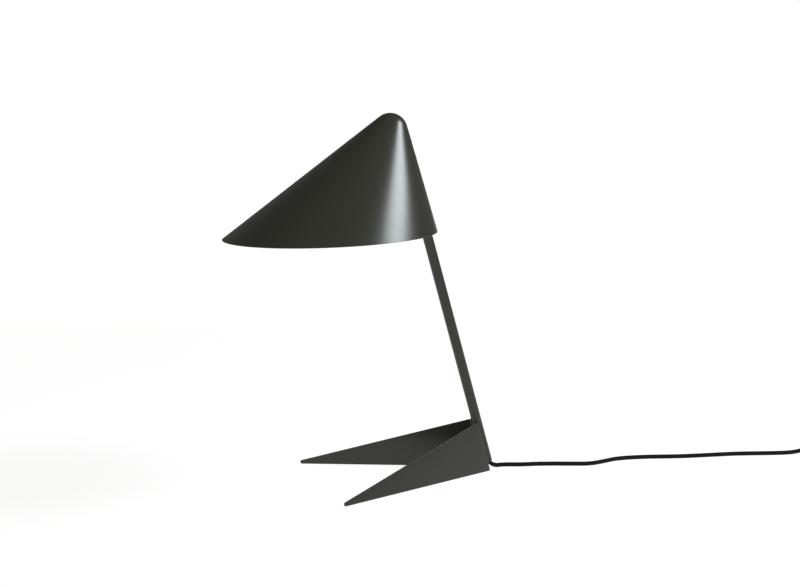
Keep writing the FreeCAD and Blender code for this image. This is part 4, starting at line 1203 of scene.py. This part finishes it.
@dataclass
class Knuckle:
    """The friction joint between stem and shade, and the two leads that pass it."""

    nodes: dict[str, Object]
    leads_from: Point = (0.050, 0.0, 0.363)     # metres; a point on the leads below the joint
    leads_to: Point = (0.030, 0.0, 0.405)       # metres; and one above it
    merge_within: float = 0.001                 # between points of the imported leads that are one

    def dress(self) -> None:
        """Finishes the turned, plated and pressed parts."""
        dress(self.nodes, MILLED_BRASS, "knuckle_fork", "knuckle_eye")
        dress(self.nodes, ZINC_STEEL, "pivot_bolt", "pivot_nut", "pivot_washers", "pivot_spring_washer")
        dress(self.nodes, BLACK_STEEL, "back_screw", "back_washer")
        dress(self.nodes, FIBRE, "friction_washers")

    def build_leads(self) -> Object:
        """Makes the leads as one smooth piece; it is tied to no body, so it doesn't bend at the joint.

        Returns:
            The leads.
        """
        mesh = merged_copy(self.nodes["lamp_leads"], "lamp_wires", self.merge_within)
        mesh.materials.append(LEAD_INSULATION.material())
        smooth(mesh, sharp_degrees=40.0)
        wires = link_piece("lamp_wires", mesh)
        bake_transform(wires)
        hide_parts("lamp_leads")
        log.info("lamp_wires: %d faces", len(mesh.polygons))
        return wires


@dataclass
class Holder:
    """The lamp holder in the shade, with the light source that it carries."""

    nodes: dict[str, Object]
    shade: Shade
    rib_ring: float = 13.0          # radius of the skirt
    rib_low: float = 68.0           # millimetres down the shade's axis
    rib_high: float = 92.0
    rib_radius: float = 0.6
    rib_sink: float = 0.1           # how deep the ribs' middles sit in the skirt
    ribs: int = 36

    def dress(self) -> None:
        """Finishes the holder's resin, ceramic and metal, and the bulb."""
        dress(self.nodes, PHENOLIC, "holder_cap", "holder_skirt")
        dress(self.nodes, STEATITE, "holder_core")
        dress(self.nodes, ZINC_STEEL, "holder_nipple", "holder_lock_nut", "holder_washer")
        dress(self.nodes, PRESSED_BRASS, "socket_shell", "centre_contact", "terminal_screws")
        dress(self.nodes, NICKEL, "bulb_cap")
        dress(self.nodes, SOLDER, "bulb_contact")
        dress(self.nodes, BLACK_GLASS, "bulb_insulator")
        dress(self.nodes, POLYCARBONATE, "bulb_collar")
        dress(self.nodes, OPAL_GLASS, "bulb_glass")
        dress(self.nodes, BOARD, "led_board")

    def build(self) -> Object:
        """Moulds the grip ribs round the skirt.

        Returns:
            The ribs.
        """
        middle = (self.rib_low + self.rib_high) / 2
        place = self.shade.frame @ Matrix.Translation(Vector((0, 0, middle)) * MM)
        ribs = bars(Layout.RING, PHENOLIC).piece(
            "holder_grip_ribs", place, Count=self.ribs, Ring_Radius=(self.rib_ring - self.rib_sink) * MM,
            Bar_Radius=self.rib_radius * MM, Bar_Length=(self.rib_high - self.rib_low) * MM)
        return finish_piece(ribs, Body.SHADE)


# ---------------------------------------------------------------------------------------------------- studio

@dataclass(frozen=True)
class Softbox:
    """A flat, square-cornered light that looks at the lamp. Its sizes are in metres."""

    name: str
    towards: Point                  # direction from the lamp to the light
    distance: float
    width: float
    height: float
    watts: float
    colour: str = "ffffff"
    aim: Point = (0.05, 0.0, 0.3)

    def build(self) -> None:
        """Hangs the light."""
        light = bpy.data.lights.new(self.name, "AREA")
        light.shape, light.size, light.size_y = "RECTANGLE", self.width, self.height
        light.energy, light.color = self.watts, linear(self.colour)[:3]
        hung = bpy.data.objects.new(self.name, light)
        way = Vector(self.towards).normalized()
        hung.location = Vector(self.aim) + way * self.distance
        hung.rotation_euler = way.to_track_quat("Z", "Y").to_euler()
        bpy.context.scene.collection.objects.link(hung)


@dataclass
class Studio:
    """The camera, the soft light and the plain pale floor. Places and distances are in metres."""

    camera_place: Point = (-0.49695, -1.58575, 0.48113)
    forward: Point = (0.319472, 0.935044, -0.15373)
    right: Point = (0.946292, -0.323315, 0.0)
    lens: float = 65.386            # millimetres, as the film's width is
    film_width: float = 36.0
    clip: tuple[float, float] = (0.01, 50.0)
    floor_reach: float = 8.0        # each way from the lamp
    floor_glow: float = 0.83        # what the floor gives off beside the lamp
    floor_glow_far: float = 0.97    # and far from it
    floor_glow_steps: tuple[float, float] = (0.6, 2.6)     # where the first ends and the second begins
    room_white: float = 1.05        # the room as the camera sees it
    room_glow: float = 0.5          # the room as the lamp sees it, on its bright side
    room_glow_behind: float = 0.14  # and on the other
    room_glow_steps: tuple[float, float] = (-0.4, 0.7)     # where the dark side ends, the bright one begins
    room_bright_side: Point = (-0.25, -0.9, 0.35)
    room_colour: str = "fffdf6"
    softboxes: tuple[Softbox, ...] = (
        Softbox("key_softbox", (0.69, -0.29, 0.67), 1.0, 0.47, 0.3, 9.6, "f2fbff"),
    )

    def build_camera(self) -> None:
        """Sets up the camera."""
        forward, right = Vector(self.forward).normalized(), Vector(self.right).normalized()
        lens = bpy.data.cameras.new("camera")
        lens.lens, lens.sensor_width, lens.sensor_fit = self.lens, self.film_width, "HORIZONTAL"
        lens.clip_start, lens.clip_end = self.clip
        camera = bpy.data.objects.new("camera", lens)
        camera.matrix_world = axes(Vector(self.camera_place), right, -forward)
        bpy.context.scene.collection.objects.link(camera)
        bpy.context.scene.camera = camera

    def build_room(self) -> None:
        """Sets up the world: white to look at, and a dim, even light on the lamp."""
        world = bpy.data.worlds.new("room")
        world.use_nodes = True
        tree = world.node_tree
        tree.nodes.clear()
        seen = add_node(tree, "ShaderNodeBackground", {
            "Color": (1.0, 1.0, 1.0, 1.0), "Strength": self.room_white})
        way = add_node(tree, "ShaderNodeTexCoord").outputs["Generated"]
        facing = add_node(tree, "ShaderNodeVectorMath", {0: way, 1: self.room_bright_side},
                          operation="DOT_PRODUCT")
        dark, bright = self.room_glow_steps
        glow = add_node(tree, "ShaderNodeMapRange", {
            "Value": facing.outputs["Value"], "From Min": dark, "From Max": bright,
            "To Min": self.room_glow_behind, "To Max": self.room_glow}, interpolation_type="SMOOTHSTEP")
        felt = add_node(tree, "ShaderNodeBackground", {"Color": linear(self.room_colour), "Strength": glow})
        path = add_node(tree, "ShaderNodeLightPath")
        mixed = add_node(tree, "ShaderNodeMixShader", {0: path.outputs["Is Camera Ray"], 1: felt, 2: seen})
        add_node(tree, "ShaderNodeOutputWorld", {"Surface": mixed})
        bpy.context.scene.world = world
        bpy.context.scene.view_settings.view_transform = "Standard"

    def build_floor(self) -> None:
        """Lays the floor, which glows a little like a lit white table."""
        mesh = bpy.data.meshes.new("floor")
        reach = self.floor_reach
        corners = [(-reach, -reach, 0), (reach, -reach, 0), (reach, reach, 0), (-reach, reach, 0)]
        mesh.from_pydata(corners, [], [(0, 1, 2, 3)])
        paint = STUDIO_FLOOR.material()
        tree = paint.node_tree
        shader = tree.nodes["Principled BSDF"]
        shader.inputs["Emission Color"].default_value = (1.0, 1.0, 1.0, 1.0)
        point = tree.nodes["Texture Coordinate"].outputs["Object"]
        away = add_node(tree, "ShaderNodeVectorMath", {0: point}, operation="LENGTH")
        near, far = self.floor_glow_steps
        glow = add_node(tree, "ShaderNodeMapRange", {
            "Value": away.outputs["Value"], "From Min": near, "From Max": far, "To Min": self.floor_glow,
            "To Max": self.floor_glow_far}, interpolation_type="SMOOTHSTEP")
        tree.links.new(glow.outputs[0], shader.inputs["Emission Strength"])
        mesh.materials.append(paint)
        link_piece("floor", mesh)

    def build(self) -> None:
        """Builds everything that isn't the lamp."""
        self.build_camera()
        self.build_room()
        self.build_floor()
        for softbox in self.softboxes:
            softbox.build()


# ---------------------------------------------------------------------------------------------- all together

def main() -> None:
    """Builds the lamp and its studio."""
    logging.basicConfig(level=logging.INFO, format="%(message)s")
    nodes = FRAME["nodes"]
    Studio().build()
    cord = Cord()
    laid = cord.build()
    tie = cord.build_tie()
    switch, plug = Switch(nodes), Plug(nodes)
    switch.dress()
    plug.dress()
    on_cord = [tie, *switch.build(), *plug.build(), "switch_base", "switch_cover", "switch_rocker",
               "rocker_pin", "switch_screws", "switch_contacts", "plug_body", "plug_pins", "plug_sleeves"]
    stem = Stem(nodes)
    stem.dress()
    stem.build_base()
    stem.build_welds()
    shade = Shade()
    shade.build()
    knuckle = Knuckle(nodes)
    knuckle.dress()
    knuckle.build_leads()
    holder = Holder(nodes, shade)
    holder.dress()
    holder.build()


if __name__ == "__main__":
    main()
